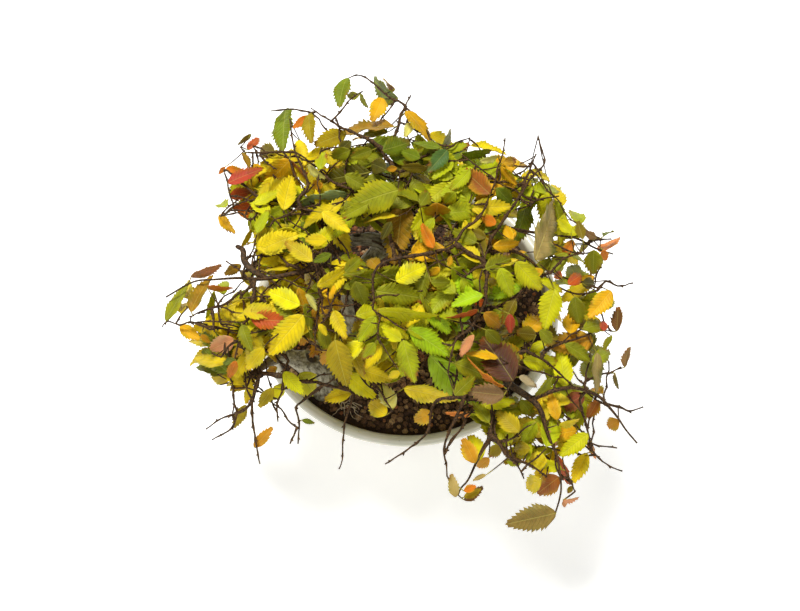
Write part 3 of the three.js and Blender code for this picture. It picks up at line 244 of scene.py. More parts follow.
# Twigs read from the photograph: [depth under the canopy's dome, first radius, then u, v pairs].
TWIGS = [
    [22, 1.6, [332, 247], [320, 246], [302, 248]],
    [16, 1.2, [297, 267], [289, 265], [281, 257], [273, 246]],
    [22, 1.1, [325, 255], [313, 262], [306, 268]],
    [12, 1.3, [254, 281], [254, 293], [252, 303], [250, 317], [244, 323], [241, 332], [237, 348],
     [235, 358]],
    [12, 0.9, [238, 340], [228, 347], [221, 357], [212, 353]],
    [12, 0.8, [252, 286], [240, 298], [262, 296]],
    [10, 0.9, [240, 292], [227, 303], [203, 311], [191, 317], [190, 322]],
    [8, 0.8, [213, 329], [200, 325], [190, 322], [180, 325], [168, 321], [162, 327]],
    [12, 0.7, [218, 304], [221, 324], [233, 328]], [6, 0.9, [299, 208], [284, 217], [275, 219], [270, 227]],
    [8, 0.9, [262, 205], [254, 218], [247, 219], [240, 213], [221, 216]],
    [6, 0.8, [226, 170], [227, 180], [230, 196], [233, 204], [232, 209], [222, 216]],
    [8, 1, [298, 200], [306, 190], [308, 183], [299, 161], [295, 152], [291, 130], [290, 119]],
    [8, 0.8, [295, 152], [275, 152], [257, 153], [245, 152], [241, 147]], [8, 0.6, [257, 153], [253, 146]],
    [9, 0.6, [260, 156], [271, 166], [277, 169]], [10, 0.7, [243, 274], [238, 269], [226, 261]],
    [40, 1.5, [285, 356], [284, 372], [282, 392], [277, 403], [278, 422]],
    [38, 1.6, [262, 374], [258, 381], [255, 390], [252, 400], [247, 408], [237, 413], [221, 419],
     [206, 429]],
    [36, 1, [252, 400], [252, 413], [254, 431], [257, 449], [260, 464]],
    [36, 0.8, [237, 413], [232, 428], [212, 440]],
    [42, 1.4, [255, 371], [257, 363], [261, 352], [262, 342]], [40, 1, [250, 377], [246, 387], [231, 388]],
    [52, 1.2, [322, 384], [305, 399], [296, 408], [299, 422], [298, 444]],
    [50, 0.9, [297, 428], [290, 444]],
    [56, 1, [352, 392], [350, 405], [345, 422], [343, 440], [342, 460], [339, 469]],
    [30, 1.3, [438, 400], [428, 431], [411, 447], [385, 464]],
    [24, 1.5, [470, 385], [456, 418], [449, 432], [444, 449], [446, 463], [447, 476]],
    [22, 0.7, [466, 420], [449, 446]],
    [6, 1.2, [388, 160], [383, 150], [392, 140], [398, 128], [400, 117], [405, 106], [398, 101], [390, 98],
     [368, 79], [356, 75], [349, 78]],
    [6, 1.3, [383, 150], [375, 143], [365, 138], [350, 131], [340, 127], [330, 120], [319, 114],
     [311, 108]],
    [6, 0.7, [313, 113], [298, 110], [289, 109], [271, 111]],
    [4, 0.7, [331, 121], [340, 112], [347, 103], [352, 98], [363, 91]], [4, 0.6, [405, 106], [411, 95]],
    [4, 1, [436, 252], [452, 247], [459, 237], [465, 228], [478, 219], [486, 205], [490, 194], [495, 182],
     [498, 167], [502, 157], [504, 147], [505, 138]],
    [4, 0.6, [496, 180], [478, 167], [462, 155]],
    [5, 1.1, [490, 240], [497, 230], [508, 213], [514, 205], [523, 191], [530, 179], [542, 167],
     [545, 160], [540, 144], [538, 136]],
    [5, 0.6, [519, 197], [531, 167], [536, 154]], [6, 0.7, [530, 206], [535, 201], [559, 196]],
    [8, 1, [400, 172], [420, 158], [449, 148], [458, 142], [470, 138]],
    [5, 1.5, [470, 254], [486, 264], [486, 288], [485, 302], [476, 319], [469, 330], [457, 338],
     [451, 355], [448, 373]],
    [5, 1.1, [485, 265], [476, 268], [465, 276]],
    [4, 1.2, [384, 262], [373, 280], [374, 300], [373, 309], [380, 317], [378, 328], [378, 337]],
    [14, 1.2, [330, 282], [320, 292], [322, 298], [323, 313], [337, 319]],
    [16, 0.9, [320, 300], [317, 321], [315, 337], [316, 350]],
    [50, 1, [352, 362], [361, 377], [370, 387], [379, 392]],
    [48, 1, [358, 362], [366, 375], [380, 391], [392, 411]],
    [6, 1, [543, 274], [550, 273], [562, 260], [574, 255], [587, 253]],
    [10, 1, [590, 241], [598, 240], [611, 239]], [8, 0.8, [597, 291], [606, 281], [618, 286], [633, 283]],
    [8, 1.2, [520, 352], [538, 357], [552, 366], [562, 376], [575, 388]],
    [10, 1, [545, 350], [565, 342], [588, 335], [597, 330], [612, 331]],
    [12, 0.9, [585, 382], [603, 374], [612, 372], [621, 367]],
    [8, 0.9, [605, 404], [619, 407], [630, 411], [643, 407]],
    [10, 0.9, [580, 400], [587, 428], [590, 442], [595, 445], [617, 448]],
    [10, 0.7, [590, 446], [593, 452], [606, 464], [622, 471]],
    [7, 1.6, [491, 436], [500, 444], [509, 457], [528, 464], [547, 477]],
    [7, 0.7, [510, 458], [518, 466], [524, 479]], [7, 0.9, [490, 440], [509, 440], [528, 426]],
    [6, 0.8, [561, 478], [569, 478], [575, 492]],
    [24, 1.3, [420, 262], [440, 290], [436, 320], [430, 345], [420, 370]],
    [14, 1.2, [388, 232], [370, 215], [352, 190], [345, 170], [350, 150]],
    [12, 1, [352, 190], [330, 180], [318, 165], [322, 148]],
    [16, 1.2, [430, 200], [440, 180], [446, 165], [430, 145]],
    [18, 1.2, [460, 210], [455, 232], [440, 240], [425, 232]],
    [20, 1.2, [400, 252], [398, 275], [396, 300], [402, 325]],
    [22, 1.1, [340, 268], [348, 285], [345, 305], [336, 325]],
]

# Leaves read from the photograph, front ones first: base u, v, tip u, v, seen width, tint.
LEAVES = {
    "centre": (0, [
        [430, 355, 479, 413, 28, "brightlime"], [513, 381, 482, 333, 36, "maroon"],
        [403, 201, 396, 265, 28, "ochre"], [396, 281, 428, 262, 22, "lemon"],
        [379, 310, 440, 318, 18, "limeyellow"], [376, 291, 428, 298, 24, "olive"],
        [410, 329, 450, 355, 24, "brightlime"], [403, 340, 414, 384, 22, "lime"],
        [483, 295, 450, 303, 14, "brightlime"], [401, 187, 441, 187, 34, "limeyellow"],
        [437, 203, 437, 225, 27, "amber"], [456, 335, 431, 329, 18, "umber"],
        [484, 313, 504, 328, 17, "amber"], [510, 314, 510, 334, 11, "red"],
        [500, 268, 513, 297, 18, "lime"], [516, 262, 541, 292, 22, "limeyellow"],
        [474, 335, 458, 355, 9, "peach"], [536, 335, 515, 332, 17, "umber"],
        [402, 340, 382, 328, 15, "limeyellow"], [376, 316, 357, 342, 16, "lime"],
        [376, 310, 400, 323, 14, "yellow"], [398, 190, 345, 205, 34, "olive"],
        [368, 204, 341, 218, 14, "olive"], [322, 212, 350, 232, 16, "yellow"],
        [317, 286, 348, 271, 14, "yellow"], [350, 282, 400, 275, 18, "olive"],
        [350, 282, 347, 298, 19, "darkolive"], [355, 282, 366, 307, 20, "olive"],
        [431, 282, 452, 283, 13, "olive"], [434, 248, 419, 222, 14, "orange"],
        [450, 253, 448, 220, 9, "yellow"], [448, 266, 452, 255, 6, "golden"],
        [486, 238, 467, 229, 12, "umber"], [496, 224, 480, 216, 13, "orange"],
        [512, 241, 503, 224, 12, "golden"], [345, 272, 361, 257, 14, "olive"],
        [379, 269, 368, 255, 15, "ochre"], [394, 182, 381, 216, 13, "olive"],
        [391, 222, 382, 240, 11, "darkolive"], [327, 240, 303, 240, 14, "yellow"],
        [331, 254, 313, 262, 10, "green"], [380, 275, 425, 275, 16, "olive"],
        [478, 310, 447, 321, 8, "rust"], [486, 303, 473, 302, 9, "rust"],
        [522, 360, 506, 344, 12, "golden"], [504, 387, 463, 364, 7, "orange"],
        [504, 395, 468, 392, 22, "taupe"], [543, 270, 528, 276, 10, "golden"],
        [486, 330, 500, 345, 14, "olive"], [470, 350, 485, 372, 16, "olive"],
        [452, 268, 470, 283, 20, "lime"], [455, 262, 482, 262, 14, "olive"],
        [440, 268, 428, 276, 10, "golden"], [447, 350, 426, 338, 14, "lime"],
        [455, 395, 475, 375, 16, "olive"], [380, 322, 385, 339, 8, "limeyellow"],
        [400, 372, 388, 378, 9, "yellow"],
    ]),
    "low": (52, [
        [346, 374, 376, 398, 20, "lemon"], [352, 392, 322, 398, 16, "yellow"],
        [386, 415, 367, 398, 20, "yellow"], [394, 408, 380, 382, 18, "paleyellow"],
        [404, 388, 459, 402, 20, "yellow"], [433, 414, 410, 420, 17, "golden"],
        [474, 413, 445, 414, 7, "orange"], [355, 360, 366, 377, 13, "amber"],
        [302, 420, 315, 423, 6, "green"],
    ]),
    "left": (8, [
        [287, 227, 286, 263, 38, "lemon"], [303, 315, 268, 357, 28, "yellow"],
        [300, 305, 264, 290, 22, "lemon"], [166, 321, 187, 281, 13, "olive"],
        [191, 312, 207, 271, 16, "ochre"], [191, 277, 223, 267, 9, "peach"],
        [207, 287, 232, 291, 8, "orange"], [214, 291, 209, 320, 6, "lime"],
        [250, 310, 223, 303, 20, "yellow"], [251, 319, 289, 321, 20, "rust"],
        [180, 326, 199, 340, 14, "golden"], [234, 339, 207, 352, 20, "peach"],
        [228, 362, 191, 358, 18, "yellow"], [236, 361, 228, 379, 11, "orange"],
        [243, 344, 232, 360, 10, "golden"], [258, 348, 244, 364, 18, "yellow"],
        [272, 326, 251, 336, 10, "olive"], [219, 215, 233, 234, 12, "golden"],
        [251, 229, 243, 249, 5, "yellow"], [264, 225, 255, 247, 14, "yellow"],
        [241, 265, 223, 275, 11, "ochre"], [293, 268, 250, 262, 12, "yellow"],
        [308, 298, 262, 284, 20, "yellow"], [335, 340, 345, 388, 28, "mustard"],
        [336, 350, 318, 365, 17, "amber"], [320, 292, 292, 258, 12, "yellow"],
        [322, 293, 341, 308, 18, "golden"], [305, 304, 315, 337, 10, "olive"],
        [319, 324, 327, 336, 8, "yellow"], [375, 343, 362, 360, 13, "lime"],
        [229, 345, 214, 344, 8, "green"], [194, 325, 203, 333, 7, "yellow"],
        [201, 335, 210, 343, 8, "amber"], [235, 359, 222, 364, 8, "green"],
        [286, 207, 266, 218, 13, "lime"], [306, 294, 317, 311, 7, "paleyellow"],
    ]),
    "foot": (36, [
        [277, 367, 266, 374, 9, "amber"], [250, 380, 246, 405, 9, "yellow"],
        [273, 388, 258, 409, 13, "mustard"], [284, 384, 270, 402, 14, "lemon"],
        [300, 373, 316, 397, 26, "limeyellow"], [246, 405, 232, 429, 13, "mustard"],
        [254, 447, 273, 428, 12, "amber"], [284, 372, 302, 395, 16, "limeyellow"],
    ]),
    "upperLeft": (4, [
        # The first leaf here takes the sage tint: its grey-green lightened with painted sheen and painted
        # light.
        [347, 193, 292, 209, 20, "sage"], [228, 183, 262, 167, 15, "red"], [230, 196, 252, 192, 14, "rust"],
        [233, 209, 256, 204, 9, "rust"], [238, 211, 256, 216, 11, "orange"],
        [290, 160, 264, 185, 24, "golden"], [284, 158, 310, 182, 12, "peach"],
        [299, 140, 303, 164, 14, "yellow"], [286, 109, 280, 149, 17, "green"],
        [309, 116, 293, 129, 10, "orange"], [309, 114, 309, 140, 14, "mustard"],
        [346, 133, 313, 145, 20, "mustard"], [308, 165, 323, 180, 8, "paleyellow"],
        [323, 185, 309, 186, 12, "amber"], [251, 134, 238, 146, 6, "umber"],
        [249, 150, 257, 136, 8, "rust"], [243, 153, 250, 167, 6, "ochre"],
        [226, 169, 242, 171, 9, "orange"], [225, 167, 218, 174, 5, "orange"],
        [254, 204, 282, 190, 13, "limeyellow"], [268, 196, 286, 176, 14, "yellow"],
    ]),
    "top": (0, [
        [370, 172, 318, 180, 23, "darkolive"], [383, 150, 414, 142, 22, "green"],
        [398, 98, 366, 82, 16, "green"], [347, 78, 335, 102, 12, "green"],
        [382, 98, 374, 120, 18, "golden"], [406, 111, 435, 138, 15, "golden"],
        [394, 127, 335, 123, 9, "ochre"], [386, 170, 368, 160, 18, "darkolive"],
        [359, 95, 346, 97, 9, "olive"], [360, 94, 366, 108, 5, "olive"],
        [411, 123, 405, 136, 10, "paleyellow"], [388, 132, 362, 133, 9, "olive"],
        [440, 148, 413, 141, 10, "green"], [447, 150, 429, 172, 17, "bluegreen"],
        [441, 148, 457, 132, 11, "olive"], [428, 168, 401, 167, 9, "umber"],
        [455, 192, 443, 206, 14, "lime"], [453, 207, 479, 204, 30, "lime"],
        [490, 194, 461, 168, 22, "rustbrown"], [461, 153, 493, 152, 7, "green"],
        [462, 153, 476, 168, 12, "green"], [498, 156, 481, 163, 6, "paleyellow"],
        [502, 163, 517, 160, 11, "golden"], [501, 166, 514, 187, 7, "golden"],
        [500, 168, 513, 194, 20, "lime"], [497, 188, 513, 206, 16, "green"],
        [470, 170, 453, 190, 14, "lime"], [456, 174, 434, 190, 18, "lime"], [395, 89, 381, 81, 9, "amber"],
        [350, 150, 330, 160, 16, "olive"], [372, 150, 350, 158, 14, "olive"],
        [420, 158, 400, 150, 14, "green"], [345, 175, 372, 190, 16, "olive"],
        [420, 205, 432, 190, 14, "olive"], [397, 168, 386, 170, 7, "amber"],
        [340, 150, 352, 140, 12, "darkolive"],
    ]),
    "right": (2, [
        [535, 259, 560, 197, 30, "tan"], [593, 340, 548, 346, 27, "amber"],
        [611, 291, 590, 318, 20, "golden"], [594, 250, 592, 276, 20, "olive"],
        [555, 289, 543, 329, 24, "limeyellow"], [575, 297, 578, 326, 19, "olive"],
        [584, 395, 557, 409, 20, "dustyred"], [597, 353, 598, 394, 13, "tan"],
        [617, 331, 618, 305, 12, "brown"], [537, 186, 520, 210, 16, "lime"],
        [527, 200, 518, 246, 15, "green"], [583, 239, 577, 220, 11, "umber"],
        [596, 238, 584, 232, 9, "taupe"], [600, 252, 620, 235, 14, "orange"],
        [603, 250, 606, 262, 9, "orange"], [573, 240, 562, 259, 11, "orange"],
        [571, 233, 558, 218, 12, "limeyellow"], [568, 284, 583, 274, 13, "rust"],
        [562, 278, 553, 272, 10, "rust"], [582, 283, 596, 284, 13, "darkolive"],
        [604, 331, 604, 319, 9, "red"], [625, 367, 627, 345, 8, "taupe"], [519, 377, 540, 385, 10, "cream"],
        [523, 360, 560, 365, 20, "limeyellow"], [545, 365, 572, 390, 22, "lime"],
        [557, 420, 551, 392, 14, "golden"], [598, 400, 588, 420, 14, "rustbrown"],
        [619, 421, 605, 428, 15, "amber"], [560, 424, 582, 421, 9, "yellow"],
        [519, 432, 497, 410, 20, "mustard"], [588, 242, 580, 253, 6, "paleyellow"],
        [612, 336, 602, 349, 6, "olive"], [615, 373, 616, 390, 4, "tan"], [604, 236, 612, 229, 5, "green"],
        [540, 330, 555, 345, 14, "olive"], [590, 330, 575, 318, 12, "tan"],
        [548, 258, 552, 236, 12, "olive"], [508, 262, 528, 250, 12, "olive"],
    ]),
    "lowerRight": (4, [
        [556, 513, 507, 524, 27, "tanolive"], [475, 463, 463, 438, 17, "amber"],
        [480, 460, 470, 433, 22, "lemon"], [559, 477, 535, 495, 22, "rustbrown"],
        [558, 456, 566, 488, 12, "rust"], [587, 453, 572, 484, 17, "yellow"],
        [547, 463, 524, 457, 20, "yellow"], [541, 480, 522, 489, 20, "yellow"],
        [489, 458, 477, 469, 12, "amber"], [502, 445, 488, 457, 13, "mustard"],
        [456, 497, 450, 474, 12, "tan"], [464, 491, 477, 486, 9, "orange"],
        [464, 497, 482, 490, 9, "mustard"], [464, 500, 485, 488, 10, "brown"],
        [486, 475, 472, 479, 5, "tan"], [530, 448, 511, 450, 16, "mustard"],
        [512, 428, 494, 450, 20, "limeyellow"], [536, 422, 520, 443, 18, "lime"],
        [552, 450, 531, 452, 9, "limeyellow"], [588, 434, 560, 455, 18, "limeyellow"],
        [585, 400, 566, 438, 20, "lime"], [572, 486, 568, 494, 6, "mustard"],
        [563, 500, 580, 500, 4, "peach"], [564, 500, 565, 508, 5, "peach"],
        [590, 440, 594, 460, 8, "peach"], [507, 460, 522, 466, 8, "lime"],
        [545, 430, 556, 448, 12, "peach"], [520, 400, 536, 418, 14, "olive"],
        [505, 408, 520, 395, 14, "olive"],
    ]),
}

# Where the photograph shows nothing but the backdrop, the rim or the soil, as [u, v, radius].
OPEN_SPOTS = [
    [530, 305, 16], [530, 232, 14], [487, 202, 10], [258, 400, 14], [400, 425, 44], [350, 425, 36],
    [455, 440, 30], [425, 372, 20], [296, 420, 30], [576, 250, 10], [586, 372, 10], [232, 250, 12],
    [210, 300, 14],
]

# The crown's outline in the photograph, as four quarter ellipses.
CROWN_OUTLINE = {"u": 402, "v": 262, "right": 196, "left": 176, "up": 128, "down": 128}

# Foliage that the photograph shows beyond the crown, as ellipses: u, v, half width, half height.
SIDE_FOLIAGE = [(522, 428, 66, 60), (236, 318, 62, 74), (262, 200, 46, 58), (572, 330, 46, 84)]

# Where the photograph shows bare wood or soil through the leaves, as [u, v, radius].
BARE_SPOTS = [
    [376, 250, 19], [352, 238, 11], [338, 250, 9], [318, 266, 9], [292, 271, 9], [264, 278, 9],
    [240, 278, 8], [305, 358, 17], [322, 378, 16], [286, 356, 10], [268, 366, 9], [352, 300, 9],
    [350, 322, 9], [242, 256, 11], [402, 225, 9], [530, 380, 12], [470, 335, 7],
]

# Leaf colours: the blade's and its rim's. The rim's is partly the leaf's own warmer edge and partly painted
# glow of light through the thin margin.
TINTS = {
    "lemon": ((248, 234, 12), (255, 246, 70)), "yellow": ((238, 208, 12), (246, 226, 45)),
    "limeyellow": ((208, 204, 6), (232, 222, 16)), "paleyellow": ((236, 226, 112), (244, 238, 160)),
    "golden": ((233, 174, 10), (240, 200, 26)), "mustard": ((180, 156, 12), (206, 182, 18)),
    "amber": ((206, 144, 16), (226, 182, 24)), "ochre": ((174, 130, 16), (150, 132, 14)),
    "orange": ((227, 128, 24), (242, 176, 34)), "rust": ((196, 84, 20), (226, 134, 34)),
    "rustbrown": ((156, 90, 26), (206, 158, 34)), "red": ((186, 66, 40), (216, 112, 52)),
    "dustyred": ((168, 88, 58), (192, 124, 72)), "peach": ((222, 148, 96), (236, 182, 122)),
    "brown": ((110, 74, 34), (168, 120, 34)), "umber": ((122, 104, 14), (152, 136, 16)),
    "tan": ((176, 152, 84), (140, 140, 34)), "tanolive": ((152, 128, 58), (172, 152, 72)),
    "taupe": ((134, 102, 62), (158, 122, 76)), "cream": ((226, 202, 152), (236, 216, 172)),
    "lime": ((176, 184, 8), (206, 204, 16)), "brightlime": ((174, 208, 8), (196, 220, 20)),
    "olive": ((142, 144, 8), (176, 168, 12)), "darkolive": ((92, 86, 10), (132, 120, 14)),
    "green": ((118, 134, 14), (150, 154, 14)), "bluegreen": ((76, 106, 44), (100, 124, 32)),
    # The sage tint is lighter than the leaf's own grey-green: painted sheen, and painted light for a leaf
    # that lies in the shade of the shoots above.
    "sage": ((160, 182, 120), (146, 160, 70)), "maroon": ((78, 44, 26), (104, 64, 34)),
}

# The tints that side shoots take on from the leaves around them.
COMMON = ("lemon", "yellow", "limeyellow", "lime", "brightlime", "olive", "green", "mustard", "golden",
          "umber")

# Where a blade is probed for room, as (share of its length, share of its half width).
PROBES = [
    (0.1, 0), (0.3, -0.7), (0.3, 0), (0.3, 0.7), (0.55, -0.75), (0.55, 0), (0.55, 0.75), (0.8, -0.4),
    (0.8, 0.4), (0.98, 0),
]


def imul(a, b):
    """The low 32 bits of a product."""
    return ((a & 0xFFFFFFFF) * (b & 0xFFFFFFFF)) & 0xFFFFFFFF


def seeded_random(seed):
    """A stream of numbers from 0 to 1 that is the same for the same seed."""
    state = seed & 0xFFFFFFFF

    def draw():
        nonlocal state
        state = (state + 0x6D2B79F5) & 0xFFFFFFFF
        t = imul(state ^ (state >> 15), state | 1)
        t ^= (t + imul(t ^ (t >> 7), t | 61)) & 0xFFFFFFFF
        return (t ^ (t >> 14)) / 4294967296

    return draw


def clamp(value):
    return min(1.0, max(0.0, value))


def vec(x, y, z):
    return np.array((x, y, z), float)


def unit(v):
    return v / np.linalg.norm(v)


def turned(v, axis, angle):
    """v turned about a unit axis."""
    c = math.cos(angle)
    s = math.sin(angle)
    return v * c + np.cross(axis, v) * s + axis * float(axis @ v) * (1 - c)


TILT = math.radians(SHOT_ELEVATION)
LOOK = vec(0, math.cos(TILT), -math.sin(TILT))
LOOK_UP = vec(0, math.sin(TILT), math.cos(TILT))
EYE = vec(*SHOT_TARGET) - SHOT_DISTANCE * LOOK


def ray_through(u, v):
    across = vec((u - SHOT_CENTRE[0]) / SHOT_FOCAL, 0, 0)
    return LOOK + across + LOOK_UP * ((SHOT_CENTRE[1] - v) / SHOT_FOCAL)


def seen(u, v, height):
    """The point seen at a pixel, at a height above the ground."""
    ray = ray_through(u, v)
    return EYE + ray * ((height - EYE[2]) / ray[2])


def dome_height(x, y):
    return CANOPY_TOP - CANOPY_FALL * ((x - CANOPY_X) ** 2 + (y - CANOPY_Y) ** 2)


def under_dome(u, v, depth):
    """The point seen at a pixel, so far under the dome that the leaves lie along."""
    ray = ray_through(u, v)
    x = EYE[0] - CANOPY_X
    y = EYE[1] - CANOPY_Y
    a = CANOPY_FALL * (ray[0] ** 2 + ray[1] ** 2)
    b = ray[2] + 2 * CANOPY_FALL * (x * ray[0] + y * ray[1])
    c = EYE[2] - CANOPY_TOP + depth + CANOPY_FALL * (x * x + y * y)
    root = math.sqrt(max(b * b - 4 * a * c, 0))
    return EYE + ray * ((-b - root) / (2 * a))


def pixel_of(point):
    out = point - EYE
    far = float(out @ LOOK)
    across = SHOT_FOCAL * out[0] / far
    up = SHOT_FOCAL * float(out @ LOOK_UP) / far
    return SHOT_CENTRE[0] + across, SHOT_CENTRE[1] - up


def in_spots(u, v, spots):
    return any((u - a) ** 2 + (v - b) ** 2 < r * r for a, b, r in spots)


def is_hidden(point):
    """Whether the photograph shows foliage where this point is."""
    u, v = pixel_of(point)
    out = CROWN_OUTLINE
    across = (u - out["u"]) / (out["right"] if u > out["u"] else out["left"])
    along = (v - out["v"]) / (out["down"] if v > out["v"] else out["up"])
    return across * across + along * along < 1 and not in_spots(u, v, OPEN_SPOTS)


def in_foliage(point):
    """Whether a shoot's leaf may stand here without showing where the photograph has none."""
    u, v = pixel_of(point)
    if in_spots(u, v, OPEN_SPOTS + BARE_SPOTS):
        return False
    beyond = any(((u - a) / w) ** 2 + ((v - b) / h) ** 2 < 1 for a, b, w, h in SIDE_FOLIAGE)
    return beyond or is_hidden(point)


class Strand:
    """A limb, twig, shoot or stalk: points with radii, and how thick it is drawn at its start."""

    def __init__(self, kind, points, radii):
        self.kind = kind
        self.points = [np.asarray(point, float) for point in points]
        self.radii = list(radii)
        self.true_radius = self.radii[0]


class Leaf:
    """A blade: base, midrib direction, side, face normal, length and width, and how it is bent."""

    def __init__(self, base, rib, side, face, length, width, fold, arch):
        self.base = base
        self.rib = rib
        self.side = side
        self.face = face
        self.length = length
        self.width = width
        self.fold = fold
        self.arch = arch
        self.tint = "lime"
        self.number = 0
        self.foot = None
        self.stalk = None

    def point(self, t, w):
        """A point of the blade: t along the midrib, w across from -1 to 1."""
        lift = self.fold * abs(w) * 0.5 * self.width - self.arch * self.length * t * t
        place = self.base + self.rib * (t * self.length) + self.side * (0.5 * w * self.width)
        return place + self.face * lift

    def probes(self):
        return np.array([self.point(t, w) for t, w in PROBES])


class Bonsai:
    """The tree's strands and leaves, grown by the same rules as the solids."""

    def __init__(self):
        self.in_sight = []
        self.strands = []
        self.leaves = []
        self.starts = np.zeros((0, 3))
        self.ends = np.zeros((0, 3))
        self.owners = []
        self.taken = np.zeros((0, 3))
        self.room = np.zeros(0)
        self.taker = np.zeros(0, int)

    def add_strand(self, kind, points, radii):
        strand = Strand(kind, points, radii)
        self.strands.append(strand)
        self.starts = np.vstack([self.starts, strand.points[:-1]])
        self.ends = np.vstack([self.ends, strand.points[1:]])
        self.owners += [strand] * (len(points) - 1)
        return strand

    def feet(self, point):
        """The nearest point to this one on each segment of the strands."""
        along = self.ends - self.starts
        share = ((point - self.starts) * along).sum(1) / (along * along).sum(1)
        return self.starts + along * np.clip(share, 0, 1)[:, None]

    def grow_twig(self, depth, radius, pixels):
        path = [under_dome(u, v, depth) for u, v in pixels]
        feet = self.feet(path[0])
        far = np.linalg.norm(feet - path[0], axis=1)
        best = int(far.argmin())
        points = [feet[best]] + (path[1:] if far[best] < 1 else path)
        solid = np.linspace(max(radius, THINNEST_TWIG), THINNEST_TWIG, len(points))
        self.add_strand("twig", points, solid).true_radius = radius

    def take(self, points, room, leaf_number=-1):
        self.taken = np.vstack([self.taken, points])
        self.room = np.concatenate([self.room, np.broadcast_to(room, len(points))])
        self.taker = np.concatenate([self.taker, np.full(len(points), leaf_number)])

    def take_strand(self, strand):
        for i in range(len(strand.points) - 1):
            a, b = strand.points[i], strand.points[i + 1]
            steps = max(1, math.floor(np.linalg.norm(b - a) / 4 + 0.5))
            line = [a + (b - a) * (k / steps) for k in range(steps + 1)]
            self.take(np.array(line), TWIG_ROOM + strand.radii[i])

    def is_clear(self, points, share=1.0):
        room = (self.room * share) ** 2
        far = ((points[:, None, :] - self.taken[None, :, :]) ** 2).sum(2)
        return not (far < room).any()

    def keep_leaf(self, leaf, points, tint, room=LEAF_ROOM):
        leaf.tint = tint
        leaf.number = len(self.leaves)
        self.leaves.append(leaf)
        self.take(points, room, leaf.number)

    def place_seen_leaf(self, row, depth, seed):
        u, v, tip_u, tip_v, width, tint = row
        for k in range(DEPTH_TRIES):
            sunk = depth + k * DEPTH_STEP
            base = under_dome(u, v, sunk)
            tip = under_dome(tip_u, tip_v, sunk + TIP_DROOP)
            leaf = seen_leaf(base, tip, width, seeded_random(seed))
            points = leaf.probes()
            if self.is_clear(points):
                self.keep_leaf(leaf, points, tint)
                self.in_sight.append(leaf)
                return

    def place_fillers(self):
        """Leaves on the sides, the back and underneath, which the photograph's camera doesn't see."""
        draw = seeded_random(SEED)
        wanted = FILLER_COUNT
        for _ in range(FILLER_TRIES * FILLER_COUNT):
            if not wanted:
                return
            turn = 2 * math.pi * draw()
            out = FILLER_REACH * math.sqrt(0.08 + 0.92 * draw())
            depth = 10 + 52 * draw()
            length = 17 + 11 * draw()
            swing = turn + 1.6 * (draw() - 0.5)
            droop = -0.75 * draw()
            lean = 0.9 * (draw() - 0.5)
            pick = draw()
            x = CANOPY_X + out * math.cos(turn)
            y = CANOPY_Y - 8 + 0.86 * out * math.sin(turn)
            leaf = level_leaf(vec(x, y, dome_height(x, y) - depth), swing, droop, lean, length)
            points = leaf.probes()
            if is_hidden(leaf.base) and is_hidden(points[-1]) and self.is_clear(points):
                self.keep_leaf(leaf, points, "lime" if pick < 0.4 else "yellow" if pick < 0.75 else "amber")
                wanted -= 1

    def is_open_way(self, start, end, leaf):
        others = self.taken[(self.taker >= 0) & (self.taker != leaf.number)]
        along = end - start
        share = np.clip(((others - start) @ along) / (along @ along), 0, 1)
        return not (np.linalg.norm(start + share[:, None] * along - others, axis=1) < TWIG_ROOM).any()

    def hang_leaf(self, leaf):
        """Hangs a leaf on the nearest strand that its stalk reaches without crossing another leaf."""
        feet = self.feet(leaf.base)
        cost = np.linalg.norm(feet - leaf.base, axis=1) + [PENALTY[owner.kind] for owner in self.owners]
        ways = np.argsort(cost, kind="stable")[:24]
        way = next((w for w in ways if self.is_open_way(feet[w], leaf.base, leaf)), ways[0])
        draw = seeded_random(SEED + math.floor(97 * leaf.length + 0.5))
        foot = feet[way] + vec(draw() - 0.5, draw() - 0.5, draw() - 0.5) * FOOT_SCATTER
        leaf.stalk = self.add_strand("stalk", [foot, leaf.base], [0, 0])

    def distance_to_wood(self, leaf):
        return float(np.linalg.norm(self.feet(leaf.base) - leaf.base, axis=1).min())

    def hang(self, leaves):
        for leaf in sorted(leaves, key=self.distance_to_wood):
            self.hang_leaf(leaf)


def seen_leaf(base, tip, seen_width, draw):
    """A leaf's own frame from its base, its tip and the width that the camera sees."""
    reach = float(np.linalg.norm(tip - base))
    width = seen_width * float((base - EYE) @ LOOK) / SHOT_FOCAL
    away = unit(base - EYE)
    end = tip
    roll = 0.15 * (draw() - 0.5)
    side = -1 if draw() < 0.5 else 1
    if width > 0.62 * reach:
        length = width / 0.6
        end = tip + away * math.sqrt(length * length - reach * reach)
    elif width < 0.42 * reach:
        full = 0.46 * reach
        roll = side * math.acos(width / full)
        width = full
    rib = end - base
    length = float(np.linalg.norm(rib))
    rib = rib / length
    face = turned(unit(-away + rib * float(away @ rib)), rib, roll)
    fold = LEAF_FOLD * (0.6 + 0.8 * draw())
    return Leaf(base, rib, np.cross(rib, face), face, length, width, fold, LEAF_ARCH * (0.3 + draw()))


def level_leaf(base, swing, droop, lean, length):
    """A leaf that points the way swing says, with its face up."""
    rib = unit(vec(math.cos(swing), math.sin(swing), droop))
    face = turned(unit(vec(0, 0, 1) - rib * rib[2]), rib, lean)
    return Leaf(base, rib, np.cross(rib, face), face, length, 0.52 * length, LEAF_FOLD, 1.3 * LEAF_ARCH)


def views_of(leaves):
    """Three spots on each leaf that the photograph shows: pixel, distance, and the room kept free."""
    views = []
    for leaf in leaves:
        (u, v), (tip_u, tip_v) = pixel_of(leaf.point(0, 0)), pixel_of(leaf.point(1, 0))
        reach = 2 + 0.17 * math.hypot(tip_u - u, tip_v - v)
        for t in (0.25, 0.5, 0.75):
            place = leaf.point(t, 0)
            views.append((*pixel_of(place), np.linalg.norm(place - EYE), reach))
    return np.array(views)


